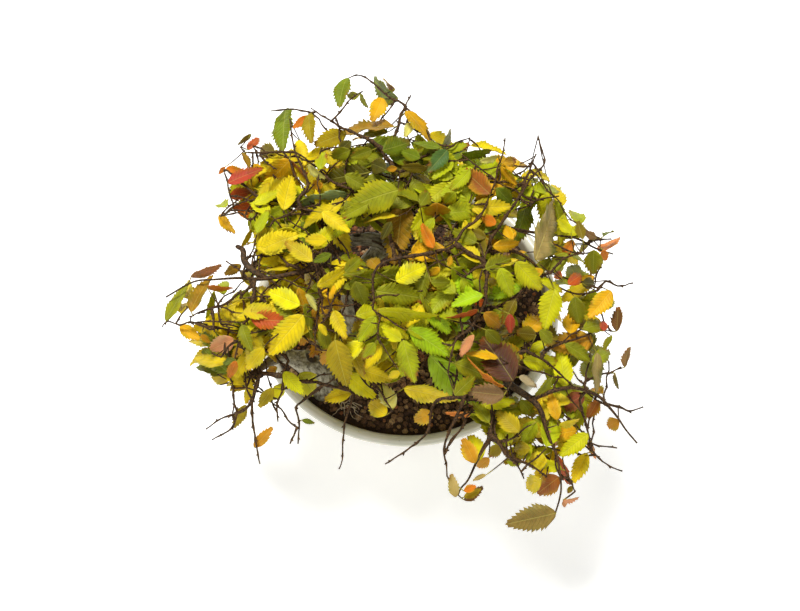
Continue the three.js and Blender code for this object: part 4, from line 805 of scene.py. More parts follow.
def hides(leaf, views):
    """Whether a leaf stands in front of one that the photograph shows."""
    middle = leaf.point(0.5, 0)
    u, v = pixel_of(middle)
    behind = views[views[:, 2] > np.linalg.norm(middle - EYE)]
    return bool((np.hypot(behind[:, 0] - u, behind[:, 1] - v) < behind[:, 3]).any())


def shoot_leaf(draw, foot, along, side, up, is_last, share):
    """A leaf at a shoot's node, to the side given, level and a little drooped."""
    length = draw.uniform(*SHOOT_LEAF) * share
    angle = 0.15 if is_last else draw.uniform(0.6, 1.1)
    rib = unit(along * math.cos(angle) + side * math.sin(angle) - up * draw.uniform(0, 0.5))
    face = turned(unit(up - rib * float(up @ rib)), rib, draw.uniform(-0.45, 0.45))
    base = foot + rib * draw.uniform(1.2, 2.4)
    width = length * draw.uniform(0.46, 0.58)
    fold = LEAF_FOLD * draw.uniform(0.5, 1.6)
    arch = LEAF_ARCH * draw.uniform(0.4, 1.7)
    leaf = Leaf(base, rib, np.cross(rib, face), face, length, width, fold, arch)
    leaf.foot = foot
    return leaf


def fits(tree, leaf, views):
    """Whether a shoot's leaf stays inside the solids' box, under the dome and out of the others' way."""
    low, high = (np.array(corner) / MM for corner in CAD_BOX)
    probes = leaf.probes()
    spread = probes[::3]
    inside = (probes > low + 2).all() and (probes < high - 2).all()
    deep = all(dome_height(p[0], p[1]) - p[2] > 3 for p in spread)
    leafy = inside and deep and all(in_foliage(p) for p in spread)
    return leafy and not hides(leaf, views) and tree.is_clear(probes, 0.5)


def grow_shoots(tree, wanted, seed):
    """Leafy side shoots under the crown's surface, with their leaves on alternate sides."""
    draw = random.Random(seed)
    count = 0
    carriers = [s for s in tree.strands if s.kind == "twig" or (s.kind == "limb" and s.points[-1][2] > 130)]
    tints = [(pixel_of(leaf.point(0.5, 0)), leaf.tint) for leaf in tree.leaves if leaf.tint in COMMON]
    views = views_of(tree.in_sight)
    for _ in range(SHOOT_TRIES * wanted):
        if count >= wanted:
            break
        carrier = draw.choice(carriers)
        k = draw.randrange(len(carrier.points) - 1)
        start = carrier.points[k] + (carrier.points[k + 1] - carrier.points[k]) * draw.random()
        if start[2] < SHOOT_FLOOR:
            continue
        swing = draw.uniform(0, 2 * math.pi)
        along = unit(vec(math.cos(swing), math.sin(swing), draw.uniform(-0.35, 0.6)))
        up = unit(vec(0, 0, 1) - along * along[2])
        side = np.cross(along, up)
        nodes = draw.randint(*SHOOT_NODES)
        step = draw.uniform(*SHOOT_STEP)
        points = [start]
        kept = []
        for i in range(nodes):
            out = 1 if i % 2 else -1
            bent = along + side * (out * draw.uniform(0.08, 0.22)) + up * draw.uniform(-0.12, 0.12)
            points.append(points[-1] + unit(bent) * step)
            share = 0.55 + 0.45 * math.sin(math.pi * (i + 1) / (nodes + 1))
            leaf = shoot_leaf(draw, points[-1], along, side * out, up, i == nodes - 1, share)
            if fits(tree, leaf, views):
                kept.append(leaf)
                last = i + 1
        if len(kept) < 2:
            continue
        tree.add_strand("shoot", points[: last + 1], [SHOOT_RADIUS] * (last + 1))
        count += 1
        for leaf in kept:
            u, v = pixel_of(leaf.point(0.5, 0))
            near = sorted(tints, key=lambda row: (row[0][0] - u) ** 2 + (row[0][1] - v) ** 2)[:5]
            tree.keep_leaf(leaf, leaf.probes(), draw.choice(near)[1], 0.7 * LEAF_ROOM)
            leaf.stalk = Strand("stalk", [leaf.foot, leaf.base], [0, 0])


@functools.lru_cache(maxsize=None)
def grown_tree(shoots, seed):
    """The whole bonsai, grown once for all the pieces that are made from it."""
    tree = Bonsai()
    for rows in LIMBS.values():
        points = [seen(u, v, z) for u, v, z, _ in rows]
        tree.add_strand("limb", points, [row[3] for row in rows])
    for depth, radius, *pixels in TWIGS:
        tree.grow_twig(depth, radius, pixels)
    for strand in tree.strands:
        tree.take_strand(strand)
    for depth, rows in LEAVES.values():
        for row in rows:
            tree.place_seen_leaf(row, depth, SEED + len(tree.leaves))
    tree.place_fillers()
    tree.hang([leaf for leaf in tree.leaves if leaf.length > SMALLEST_SOLID_LEAF])
    tree.hang([leaf for leaf in tree.leaves if leaf.length <= SMALLEST_SOLID_LEAF])
    grow_shoots(tree, shoots, seed)
    return tree


class Wire:
    """A socket in an expression: each operator adds the Math node that works it out."""

    def __init__(self, graph, socket):
        self.graph = graph
        self.socket = socket

    def math(self, operation, *values):
        return self.graph.node("ShaderNodeMath", {"operation": operation}, dict(enumerate(values)))[0]

    def __add__(self, other):
        return self.math("ADD", self, other)

    __radd__ = __add__

    def __sub__(self, other):
        return self.math("SUBTRACT", self, other)

    def __mul__(self, other):
        return self.math("MULTIPLY", self, other)

    __rmul__ = __mul__

    def __truediv__(self, other):
        return self.math("DIVIDE", self, other)

    def __pow__(self, other):
        return self.math("POWER", self, other)

    def __abs__(self):
        return self.math("ABSOLUTE", self)

    def fraction(self):
        return self.math("FRACT", self)

    def lower(self, other):
        return self.math("MINIMUM", self, other)

    def higher(self, other):
        return self.math("MAXIMUM", self, other)

    def ramp(self, low, high):
        """0 below low, 1 above high and smooth between them; a low above high turns it round."""
        inputs = {"Value": self, "From Min": low, "From Max": high}
        return self.graph.node("ShaderNodeMapRange", {"interpolation_type": "SMOOTHSTEP"}, inputs)["Result"]


class Made:
    """A node whose outputs are read by name, identifier or number."""

    def __init__(self, graph, node):
        self.graph = graph
        self.node = node

    def __getitem__(self, key):
        return Wire(self.graph, find_socket(self.node.outputs, key))


def find_socket(sockets, key):
    if isinstance(key, int):
        return sockets[key]
    same = [s for s in sockets if s.identifier == key]
    same = same or [s for s in sockets if s.name == key and s.enabled]
    if not same:
        raise KeyError(f"no socket {key!r} among {[s.identifier for s in sockets]}")
    return same[0]


class Graph:
    """A node tree under construction."""

    def __init__(self, tree):
        self.tree = tree

    def node(self, kind, settings=None, inputs=None):
        """Adds a node: its settings first, and then the values or wires of its sockets."""
        node = self.tree.nodes.new(kind)
        for name, value in (settings or {}).items():
            if name == "stops":
                self.set_stops(node.color_ramp, value)
            else:
                setattr(node, name, value)
        for key, value in (inputs or {}).items():
            socket = find_socket(node.inputs, key)
            if isinstance(value, Wire):
                self.tree.links.new(value.socket, socket)
            else:
                socket.default_value = value
        return Made(self, node)

    @staticmethod
    def set_stops(ramp, stops):
        while len(ramp.elements) < len(stops):
            ramp.elements.new(0.5)
        for element, (position, colour) in zip(ramp.elements, stops):
            element.position = position
            element.color = colour

    def parts(self, vector):
        """A vector's X, Y and Z."""
        return self.node("ShaderNodeSeparateXYZ", None, {"Vector": vector})

    def from_axis(self, vector):
        """A place's distance from the vertical axis."""
        parts = self.parts(vector)
        return (parts["X"] ** 2 + parts["Y"] ** 2) ** 0.5

    def vector_math(self, operation, *values, **named):
        inputs = dict(enumerate(values)) | named
        return self.node("ShaderNodeVectorMath", {"operation": operation}, inputs)[0]

    def named(self, name, kind="FLOAT"):
        """What is stored on the points under a name."""
        return self.node("GeometryNodeInputNamedAttribute", {"data_type": kind}, {"Name": name})[0]

    def compare(self, first, operation, second):
        return self.node("FunctionNodeCompare", {"operation": operation}, {"A": first, "B": second})[0]

    def chance(self, low, high, seed):
        """A random number from low to high for each instance."""
        inputs = {"Min_001": low, "Max_001": high, "Seed": seed}
        return self.node("FunctionNodeRandomValue", {"data_type": "FLOAT"}, inputs)["Value_001"]

    def strewn(self, points, shape, rotation=(0, 0, 0), scale=(1, 1, 1), pick=False):
        """Instances of a shape on points."""
        inputs = {"Points": points, "Instance": shape, "Pick Instance": pick, "Rotation": rotation,
                  "Scale": scale}
        return self.node("GeometryNodeInstanceOnPoints", None, inputs)[0]

    def joined(self, *geometries):
        join = self.node("GeometryNodeJoinGeometry")
        for geometry in geometries:
            self.tree.links.new(geometry.socket, join.node.inputs[0])
        return join[0]


def linear(rgb):
    """A linear colour with alpha from one of 0 to 255."""
    return tuple(c / 255 / 12.92 if c <= 10 else ((c / 255 + 0.055) / 1.055) ** 2.4 for c in rgb) + (1.0,)


class Finish(Graph):
    """A material: its Principled BSDF, and the patterns that feed it."""

    def __init__(self, name, values):
        self.material = bpy.data.materials.new(name)
        self.material.use_nodes = True
        super().__init__(self.material.node_tree)
        self.shader = self.tree.nodes["Principled BSDF"]
        for key, value in values.items():
            self.shader.inputs[key].default_value = value
        self.place = self.node("ShaderNodeTexCoord")["Object"]

    def feed(self, key, wire):
        self.tree.links.new(wire.socket, self.shader.inputs[key])

    def noise(self, size_mm, detail=3.0):
        """Noise whose patches are about size_mm across."""
        inputs = {"Vector": self.place, "Scale": 1 / (size_mm * MM), "Detail": detail}
        return self.node("ShaderNodeTexNoise", None, inputs)["Fac"]

    def cells(self, size_mm):
        inputs = {"Vector": self.place, "Scale": 1 / (size_mm * MM)}
        return self.node("ShaderNodeTexVoronoi", None, inputs)["Distance"]

    def mix(self, share, first, second, blend="MIX"):
        settings = {"data_type": "RGBA", "blend_type": blend}
        inputs = {"Factor_Float": share, "A_Color": first, "B_Color": second}
        return self.node("ShaderNodeMix", settings, inputs)["Result_Color"]

    def between(self, share, first, second):
        """A mix of two colours given from 0 to 255."""
        return self.mix(share, linear(first), linear(second))

    def tinge(self, share, wire, colour):
        """Part of a colour given from 0 to 255, laid over another."""
        return self.mix(share, wire, linear(colour))

    def attribute(self, name, output="Fac"):
        return self.node("ShaderNodeAttribute", {"attribute_name": name})[output]

    def height(self):
        """The height above the ground, in millimetres."""
        return self.parts(self.place)["Z"] / MM

    def emboss(self, relief, height_mm, strength=1.0):
        inputs = {"Height": relief, "Distance": height_mm * MM, "Strength": strength}
        self.feed("Normal", self.node("ShaderNodeBump", None, inputs)["Normal"])


def linked(name, data):
    """A new object in the scene."""
    made = bpy.data.objects.new(name, data)
    bpy.context.scene.collection.objects.link(made)
    return made


def mesh_object(name, points, faces=(), edges=(), material=None):
    """An object at the origin whose mesh has these points, given in millimetres."""
    mesh = bpy.data.meshes.new(name)
    mesh.from_pydata((np.asarray(points) * MM).tolist(), edges, faces)
    if material:
        mesh.materials.append(material)
    mesh.shade_smooth()
    return linked(name, mesh)


def hand_over(piece, slot, *nodes):
    """Puts a finished piece on the body and hides the nodes it stands for; the slot it is given is not
    used.
    """
    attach(piece, BODY)
    if nodes:
        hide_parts(*nodes)


def as_plain_mesh(source, name):
    """A plain mesh object of what the modifiers of source make, in place of source."""
    graph = bpy.context.evaluated_depsgraph_get()
    mesh = bpy.data.meshes.new_from_object(source.evaluated_get(graph), depsgraph=graph)
    source.modifiers.clear()
    bpy.data.objects.remove(source)
    mesh.name = name
    return linked(name, mesh)


def geometry_tree(name, **inputs):
    """A Geometry Nodes tree with named inputs, given with their defaults, whole or not."""
    tree = bpy.data.node_groups.new(name, "GeometryNodeTree")
    tree.interface.new_socket("Geometry", in_out="INPUT", socket_type="NodeSocketGeometry")
    for label, default in inputs.items():
        kind = "NodeSocketInt" if isinstance(default, int) else "NodeSocketFloat"
        tree.interface.new_socket(label, in_out="INPUT", socket_type=kind).default_value = default
    tree.interface.new_socket("Geometry", in_out="OUTPUT", socket_type="NodeSocketGeometry")
    graph = Graph(tree)
    return graph, graph.node("NodeGroupInput")


def end_tree(graph, geometry, material):
    """Ends a tree in Realize Instances and Set Material."""
    real = graph.node("GeometryNodeRealizeInstances", None, {0: geometry})[0]
    dressed = graph.node("GeometryNodeSetMaterial", None, {"Geometry": real, "Material": material})[0]
    graph.node("NodeGroupOutput", None, {0: dressed})


def run_tree(graph, source, name, **values):
    """The plain mesh that a tree makes of source, with inputs set by their sockets' identifiers."""
    modifier = source.modifiers.new(name, "NODES")
    modifier.node_group = graph.tree
    for item in graph.tree.interface.items_tree:
        if item.in_out == "INPUT" and item.name in values:
            modifier[item.identifier] = values[item.name]
    return as_plain_mesh(source, name)


def add_attribute(mesh, name, kind, values):
    layer = mesh.attributes.new(name, kind, "POINT")
    key = {"FLOAT": "value", "FLOAT_COLOR": "color", "FLOAT_VECTOR": "vector"}[kind]
    layer.data.foreach_set(key, np.asarray(values, np.float32).ravel())


def envelope(t):
    """A zelkova leaf's half width at a share of its length, 1 where it is widest."""
    return 1.11 * math.sin(math.pi * t**0.8) ** 0.75 * (1 - 0.25 * t)


@functools.lru_cache(maxsize=None)
def blade_rows(teeth):
    """Rows from stalk to tip: share along, half width, half width inside the teeth, tooth's reach."""
    first, last = 0.09, 0.93
    step = (last - first) / teeth
    rows = [(0.0, 0.05, 0.05, 0.0), (0.035, 0.3, 0.28, 0.0)]
    for i in range(teeth):
        notch = first + step * i
        tooth = notch + 0.7 * step
        rows.append((notch, envelope(notch) * 0.84, envelope(notch) * 0.84, 0.0))
        rows.append((tooth, envelope(tooth) * 1.06, envelope(tooth) * 0.9, 0.6 * step))
    rows.append((0.955, envelope(0.955) * 0.8, envelope(0.955) * 0.7, 0.0))
    return np.array(rows)


# Columns of points across a blade, and how far its veins' pleats rise, in millimetres.
BLADE_COLUMNS = np.array([-1.0, -0.5, 0.0, 0.5, 1.0])
PLEAT = 0.22


def blade_mesh(leaf, thickness, tooth_pitch):
    """Points, faces and vein coordinates of a blade: a closed plate with a cut edge."""
    chance = random.Random(leaf.number * 7 + 11)
    rows = blade_rows(min(12, max(6, round(leaf.length / tooth_pitch))))
    count = len(rows)
    t = rows[:, :1] + np.abs(BLADE_COLUMNS) ** 6 * rows[:, 3:4]
    outer = np.abs(BLADE_COLUMNS) > 0.9
    ragged = np.array([[chance.uniform(0.93, 1.05) for _ in BLADE_COLUMNS] for _ in range(count)])
    share = np.where(outer, rows[:, 1:2] * ragged, rows[:, 2:3]) * BLADE_COLUMNS
    half = 0.5 * leaf.width
    bends = ((-0.16, 0.2), (-0.5, 0.5), (-0.06, 0.06), (0, 6.28), (0.015, 0.045))
    curl, twist, bend, phase, ripple = (chance.uniform(*span) for span in bends)
    across = share * half
    lift = leaf.fold * np.abs(share) * half - leaf.arch * leaf.length * t * t + curl * half * share**2
    lift = lift + PLEAT * np.sign(rows[:, 3:4]) * np.minimum(1, 2 * np.abs(share))
    lift = lift + ripple * leaf.length * np.sin(15 * t + phase + 1.5 * np.sign(share)) * share**2
    lift = lift + across * np.sin(twist * t)
    across = across * np.cos(twist * t) + bend * leaf.length * t * t
    along = t * leaf.length
    top = leaf.base + along[..., None] * leaf.rib + across[..., None] * leaf.side
    top = top + lift[..., None] * leaf.face
    tip_lift = -leaf.arch * leaf.length
    tip = leaf.base + leaf.rib * leaf.length + leaf.side * bend * leaf.length + leaf.face * tip_lift
    sheet = np.vstack([top.reshape(-1, 3), tip])
    veins = np.vstack([np.stack([0.5 + share * half / leaf.length, t], 2).reshape(-1, 2), (0.5, 1.0)])
    points = np.vstack([sheet + leaf.face * thickness / 2, sheet - leaf.face * thickness / 2])
    return points, blade_faces(count), np.vstack([veins, veins]), len(sheet)


@functools.lru_cache(maxsize=None)
def blade_faces(count):
    """Faces of a blade with this many rows, split alike on its two sides."""
    columns = len(BLADE_COLUMNS)
    tip = count * columns
    size = tip + 1
    upper = []
    for i in range(count - 1):
        for k in range(columns - 1):
            a = i * columns + k
            upper.append((a, a + 1, a + columns + 1, a + columns))
    last = (count - 1) * columns
    upper += [(last + k, last + k + 1, tip) for k in range(columns - 1)]
    lower = [tuple(size + p for p in reversed(face)) for face in upper]
    ring = list(range(columns)) + [i * columns + columns - 1 for i in range(1, count)] + [tip]
    ring += [i * columns for i in range(count - 1, 0, -1)]
    rim = [(b, a, size + a, size + b) for a, b in zip(ring, ring[1:] + ring[:1])]
    return upper + lower + rim


def leaf_finish(settings):
    """The blade's colour, a warmer rim that is partly painted glow, patches of painted shade, pale veins,
    brown flecks and a dull underside.
    """
    finish = Finish("zelkova leaf", {"Subsurface Weight": settings.glow, "Specular IOR Level": 0.22})
    finish.shader.inputs["Subsurface Radius"].default_value = (1.0, 0.6, 0.1)
    finish.shader.inputs["Subsurface Scale"].default_value = 0.0012
    veins = finish.node("ShaderNodeUVMap", {"uv_map": "veins"})["UV"]
    along = finish.parts(veins)["Y"]
    side = abs(finish.parts(veins)["X"] - 0.5)
    patch = finish.noise(9, 2.0)
    speck = finish.noise(1.5, 2.0)
    tint = finish.attribute("tint", "Color")
    rim = finish.attribute("rim", "Color")
    decay = finish.attribute("decay")
    under = finish.attribute("under")
    edge = (side * 3.4 + (along - 0.5).higher(0) * 0.5 + (patch - 0.5) * 1.6).ramp(0.35, 1.0)
    # Towards the edge the blade takes the rim's colour: partly its own warmer edge, partly painted glow of
    # light through the thin margin.
    colour = finish.mix(edge, tint, rim)
    # Painted shade: a dark olive multiplied over patches about 9 mm across, like dappled shadow over the
    # leaves.
    shade = finish.mix(patch.ramp(0.3, 0.8) * 0.42, colour, linear((70, 70, 8)), "MULTIPLY")
    beat = ((along - side * 0.85) * 11 + 0.5).fraction()
    vein = abs(beat - 0.5).ramp(0.13, 0.0) * side.ramp(0.3, 0.12)
    rib = side.ramp(0.015, 0.006)
    pale = finish.tinge(0.5, colour, (238, 232, 120))
    shade = finish.mix((vein * 0.13).higher(rib * 0.28), shade, pale)
    tip = (along + side * 1.2 + (patch - 0.5) * 0.9).ramp(0.86, 1.12)
    shade = finish.tinge(tip * decay, shade, (150, 84, 24))
    fleck = speck.ramp(0.66, 0.74) * patch.ramp(0.45, 0.7) * decay
    shade = finish.tinge(fleck * 0.9, shade, (92, 52, 18))
    finish.feed("Base Color", finish.mix(under, shade, finish.tinge(0.16, shade, (208, 196, 96))))
    finish.feed("Roughness", 0.5 + under * 0.15 + speck * 0.12)
    sunk = (vein * -1.1).lower(rib * -1.3)
    finish.emboss(sunk + finish.noise(2.4, 2.0) * 0.5 + patch * 2.2, 0.4, 0.7)
    return finish.material


def leaf_mesh(name, leaves, settings, material):
    """One piece of many leaves, with the coordinates and colours that their finish reads."""
    sheets = []
    faces = []
    rows = []
    count = 0
    for leaf in leaves:
        chance = random.Random(leaf.number + 1)
        points, plates, veins, top = blade_mesh(leaf, settings.blade / MM, settings.teeth / MM)
        light = chance.uniform(0.92, 1.05)
        tint, rim = (linear([min(255, c * light) for c in colour]) for colour in TINTS[leaf.tint])
        decay = chance.random() ** 1.6
        sheets.append(points)
        faces += [tuple(count + p for p in plate) for plate in plates]
        rows += [(veins[i], tint, rim, decay, float(i >= top)) for i in range(len(points))]
        count += len(points)
    piece = mesh_object(name, np.vstack(sheets), faces, material=material)
    mesh = piece.data
    veins, tints, rims, decays, under = zip(*rows)
    corners = np.zeros(len(mesh.loops), int)
    mesh.loops.foreach_get("vertex_index", corners)
    layer = mesh.uv_layers.new(name="veins")
    layer.data.foreach_set("uv", np.array(veins)[corners].astype(np.float32).ravel())
    add_attribute(mesh, "tint", "FLOAT_COLOR", tints)
    add_attribute(mesh, "rim", "FLOAT_COLOR", rims)
    add_attribute(mesh, "decay", "FLOAT", decays)
    add_attribute(mesh, "under", "FLOAT", under)
    return piece


@functools.lru_cache(maxsize=None)
def node_surfaces():
    """The leafy nodes' surfaces, to find which one a leaf or a twig stands for."""
    surfaces = {}
    for name in LEAFY_NODES:
        mesh = frame["nodes"][name].data
        corners = [vertex.co for vertex in mesh.vertices]
        surfaces[name] = BVHTree.FromPolygons(corners, [face.vertices for face in mesh.polygons])
    return surfaces


def grouped(things, where):
    """Things by the leafy node whose surface is nearest to where each one is."""
    groups = {name: [] for name in LEAFY_NODES}
    for thing in things:
        place = Vector(where(thing) * MM)
        reach = {name: surface.find_nearest(place)[3] for name, surface in node_surfaces().items()}
        groups[min(reach, key=reach.get)].append(thing)
    return groups


def smooth_path(points, step):
    """A smooth curve through points: new ones about step apart, with their places along the old ones."""
    ends = [2 * points[0] - points[1], *points, 2 * points[-1] - points[-2]]
    path = []
    for i in range(len(points) - 1):
        a, b, c, d = ends[i : i + 4]
        count = max(1, round(float(np.linalg.norm(c - b)) / step))
        for k in range(count):
            t = k / count
            bend = (2 * a - 5 * b + 4 * c - d) * t * t + (3 * b - a - 3 * c + d) * t**3
            path.append((0.5 * (2 * b + (c - a) * t + bend), i + t))
    path.append((points[-1], len(points) - 1))
    return path


def twig_line(strand, settings):
    """A strand as points with radius and greenness: knobbly where buds sit, thinner towards its end."""
    if strand.kind == "stalk":
        start, end = strand.points
        length = float(np.linalg.norm(end - start))
        sag = vec(0, 0, -0.06 * length)
        marks = (0, 0.3, 0.6, 0.85, 1)
        green = [1 if (1 - m) * length < settings.petiole / MM else 0 for m in marks]
        return [(start + (end - start) * m + sag * math.sin(math.pi * m), STALK_RADIUS - 0.1 * m, g)
                for m, g in zip(marks, green)]
    chance = random.Random(round(float(strand.points[0][0]) * 100))
    path = smooth_path(strand.points, KNOT_STEP)
    thick = 1.1 * strand.true_radius
    thin = settings.twig_tip / MM
    line = []
    for i, (point, _) in enumerate(path):
        share = i / max(1, len(path) - 1)
        radius = thick + (thin - thick) * share**0.9
        radius *= KNOT_SWELL if i % 3 == 1 else KNOT_WAIST
        if 0 < i < len(path) - 1:
            point = point + vec(*(chance.uniform(-TWIG_SWAY, TWIG_SWAY) for _ in range(3)))
        line.append((point, radius, 0))
    return line


def twig_tree(material):
    """Geometry Nodes that sweep a ring along edges, as wide as the girth stored on their points."""
    graph, given = geometry_tree("twigs", Sides=6)
    curve = graph.node("GeometryNodeMeshToCurve", None, {0: given["Geometry"]})[0]
    inputs = {"Resolution": given["Sides"], "Radius": 1.0}
    ring = graph.node("GeometryNodeCurvePrimitiveCircle", None, inputs)[0]
    inputs = {"Curve": curve, "Profile Curve": ring, "Scale": graph.named("girth"), "Fill Caps": True}
    swept = graph.node("GeometryNodeCurveToMesh", None, inputs)[0]
    smooth = graph.node("GeometryNodeSetShadeSmooth", None, {0: swept})[0]
    end_tree(graph, smooth, material)
    return graph


def sweep(graph, lines, name, sides):
    """One mesh of all the lines swept by the twig tree."""
    edges = []
    count = 0
    for line in lines:
        edges += [(count + i, count + i + 1) for i in range(len(line) - 1)]
        count += len(line)
    points, radii, greens = zip(*(row for line in lines for row in line))
    source = mesh_object(name, points, edges=edges)
    add_attribute(source.data, "girth", "FLOAT", [radius * MM for radius in radii])
    add_attribute(source.data, "green", "FLOAT", greens)
    return run_tree(graph, source, name, Sides=sides)


def limb_lines(tree):
    """The limbs' stout stretches, and the thin ends that are swept with the twigs."""
    stout = []
    thin = []
    for strand in tree.strands:
        if strand.kind != "limb":
            continue
        line = []
        for point, place in smooth_path(strand.points, LIMB_STEP):
            k = min(int(place), len(strand.radii) - 2)
            radius = strand.radii[k] + (strand.radii[k + 1] - strand.radii[k]) * (place - k)
            share = THIN_SHARE + (1 - THIN_SHARE) * min(1, radius / FULL_RADIUS)
            line.append((point, radius * share, 0))
        end = next((i for i, row in enumerate(line) if row[1] < STOUT_RADIUS), len(line))
        if end > 2:
            stout.append(line[: end + 1])
        if end < len(line) - 1:
            thin.append(line[max(0, end - 2) :])
    return stout, thin


def bark_finish(settings):
    """Bark: pale grey and mottled on the trunk, red-brown on the twigs, green at the leaves' stalks."""
    finish = Finish("zelkova bark", {"Specular IOR Level": 0.2})
    girth = finish.attribute("girth") / MM
    grain = finish.attribute("grain", "Vector")
    furrow = finish.attribute("furrow")
    scar = finish.attribute("scar")
    streak = finish.node("ShaderNodeTexNoise", None, {"Vector": grain, "Scale": 0.5, "Detail": 5.0})["Fac"]
    cloud = finish.noise(12)
    fine = finish.noise(1.1)
    grey = finish.between(streak.ramp(0.3, 0.7), settings.deep, settings.pale)
    grey = finish.tinge(cloud.ramp(0.52, 0.72) * 0.45, grey, (146, 142, 86))
    grey = finish.tinge(fine.ramp(0.6, 0.72) * 0.5, grey, (96, 82, 66))
    young = finish.between(fine.ramp(0.35, 0.7), (40, 27, 14), (98, 70, 38))
    colour = finish.mix(girth.ramp(1.6, 5.2), young, grey)
    colour = finish.tinge(furrow * 0.8, colour, (66, 52, 40))
    colour = finish.mix(scar.ramp(0.2, 0.9), colour, finish.between(fine, (40, 33, 25), (86, 72, 54)))
    moss = cloud.ramp(0.42, 0.6) * finish.height().ramp(98, 68) * girth.ramp(1.5, 3)
    colour = finish.tinge(moss * 0.5, colour, (92, 98, 40))
    finish.feed("Base Color", finish.tinge(finish.attribute("green"), colour, (150, 140, 42)))
    finish.feed("Roughness", 0.5 + fine * 0.3)
    finish.emboss(streak * 0.5 + cloud * 0.8 + fine * 0.4, 0.3, 0.6)
    return finish.material


def centre_lines(lines):
    """The limbs' middles as (place, direction, run from the start, radius), and a tree to search them."""
    centres = []
    for line in lines:
        run = 0.0
        for i, (point, radius, _) in enumerate(line):
            before = line[max(0, i - 1)][0]
            after = line[min(len(line) - 1, i + 1)][0]
            run += float(np.linalg.norm(point - before))
            centres.append((Vector(point), Vector(after - before).normalized(), run, radius))
    tree = KDTree(len(centres))
    for i, row in enumerate(centres):
        tree.insert(row[0], i)
    tree.balance()
    return centres, tree


def scar_marks(mesh, centres, tree):
    """The scars as frames on the limbs' surface, where the camera's rays through their pixels meet it."""
    surface = BVHTree.FromPolygons([v.co / MM for v in mesh.vertices], [p.vertices for p in mesh.polygons])
    marks = []
    for u, v, *sizes in SCARS:
        hit, normal, _, _ = surface.ray_cast(Vector(EYE), Vector(ray_through(u, v)).normalized())
        if hit is None:
            raise RuntimeError(f"no limb is seen at {u}, {v}")
        across = centres[tree.find(hit)[1]][1].cross(normal).normalized()
        marks.append((hit, normal, across, normal.cross(across), *sizes))
    return marks


def scar_relief(place, normal, marks):
    """How far the scars lift the surface here, and how bare the wood is."""
    rise = 0.0
    wound = 0.0
    for hit, facing, across, upward, wide, high, raised, sunk in marks:
        off = place - hit
        if off.length > 2.2 * max(wide, high) or facing.dot(normal) < 0.1:
            continue
        ring = math.hypot(off.dot(across) / wide, off.dot(upward) / high)
        rise += raised * math.exp(-(((ring - 1) / 0.28) ** 2)) - sunk * clamp((1.0 - ring) / 0.45)
        wound = max(wound, clamp((0.95 - ring) / 0.3))
    return rise, wound


def carve_bark(limbs, lines, settings):
    """Furrows and swellings that run along the limbs, the healed cut and the knots."""
    centres, tree = centre_lines(lines)
    mesh = limbs.data
    marks = scar_marks(mesh, centres, tree)
    rows = []
    for vertex, normal in zip(mesh.vertices, [n.vector.copy() for n in mesh.vertex_normals]):
        place = vertex.co / MM
        centre, along, run, radius = centres[tree.find(place)[1]]
        away = place - centre
        ahead = along.dot(away)
        stretched = away - along * ahead + along * (0.3 * (run + ahead))
        stout = min(1.0, radius / CARVED_RADIUS)
        swell = noise.noise(stretched * 0.16) * 0.9
        ridge = abs(noise.noise(stretched * 0.42 + Vector((7, 3, 1))))
        crack = max(0.0, 1 - ridge / 0.09) * clamp(noise.noise(place * 0.11) + 0.45)
        rough = noise.noise(stretched * 1.3) * 0.08
        rise, wound = scar_relief(place, normal, marks)
        rise += (swell + rough - crack * settings.furrow / MM) * stout
        vertex.co = (place + normal * rise) * MM
        rows.append((radius * MM, crack, wound, stretched))
    girth, furrow, scar, grain = zip(*rows)
    add_attribute(mesh, "girth", "FLOAT", girth)
    add_attribute(mesh, "furrow", "FLOAT", furrow)
    add_attribute(mesh, "scar", "FLOAT", scar)
    add_attribute(mesh, "grain", "FLOAT_VECTOR", grain)
    mesh.shade_smooth()


def bud_spots(strand, settings):
    """Where buds sit on a strand's knots, on alternate sides, and which way they point."""
    line = twig_line(strand, settings)
    spots = []
    for i in range(1, len(line) - 1, 3):
        along = unit(line[i + 1][0] - line[i - 1][0])
        side = unit(np.cross(along, vec(0.3, 0.2, 1))) * (1 if i % 2 else -1)
        spots.append((line[i][0] + side * line[i][1], unit(along + side)))
    return spots


def bud_tree(material):
    """Geometry Nodes that set a small bud on every point, along the direction stored there."""
    graph, given = geometry_tree("buds", Size=0.001, Seed=0)
    bud = graph.node("GeometryNodeMeshUVSphere", None, {"Segments": 6, "Rings": 4, "Radius": 1.0})["Mesh"]
    slim = graph.node("GeometryNodeTransform", None, {"Geometry": bud, "Scale": (0.45, 0.45, 1.0)})[0]
    aim = {"Vector": graph.named("aim", "FLOAT_VECTOR")}
    turn = graph.node("FunctionNodeAlignRotationToVector", {"axis": "Z"}, aim)[0]
    size = graph.chance(0.6, 1.2, given["Seed"]) * given["Size"]
    end_tree(graph, graph.strewn(given["Geometry"], slim, turn, size), material)
    return graph


def circle(count):
    """The cosine and sine of each step round a circle."""
    angles = [2 * math.pi * k / count for k in range(count)]
    return [(math.cos(angle), math.sin(angle)) for angle in angles]


def lathe(profile, segments):
    """Points and faces of a closed body turned from (radius, height) pairs, the ends on the axis."""
    points = [vec(0, 0, profile[0][1])]
    for radius, z in profile[1:-1]:
        points += [vec(radius * c, radius * s, z) for c, s in circle(segments)]
    points.append(vec(0, 0, profile[-1][1]))
    return points, turned_faces(segments, len(profile) - 2)


def turned_faces(segments, loops):
    """The faces between a first point, some loops of points and a last point."""
    faces = []
    last = 1 + loops * segments
    for k in range(segments):
        n = (k + 1) % segments
        faces.append((0, 1 + n, 1 + k))
        for a in range(1, last - segments, segments):
            faces.append((a + k, a + n, a + segments + n, a + segments + k))
        faces.append((last - segments + k, last - segments + n, last))
    return faces


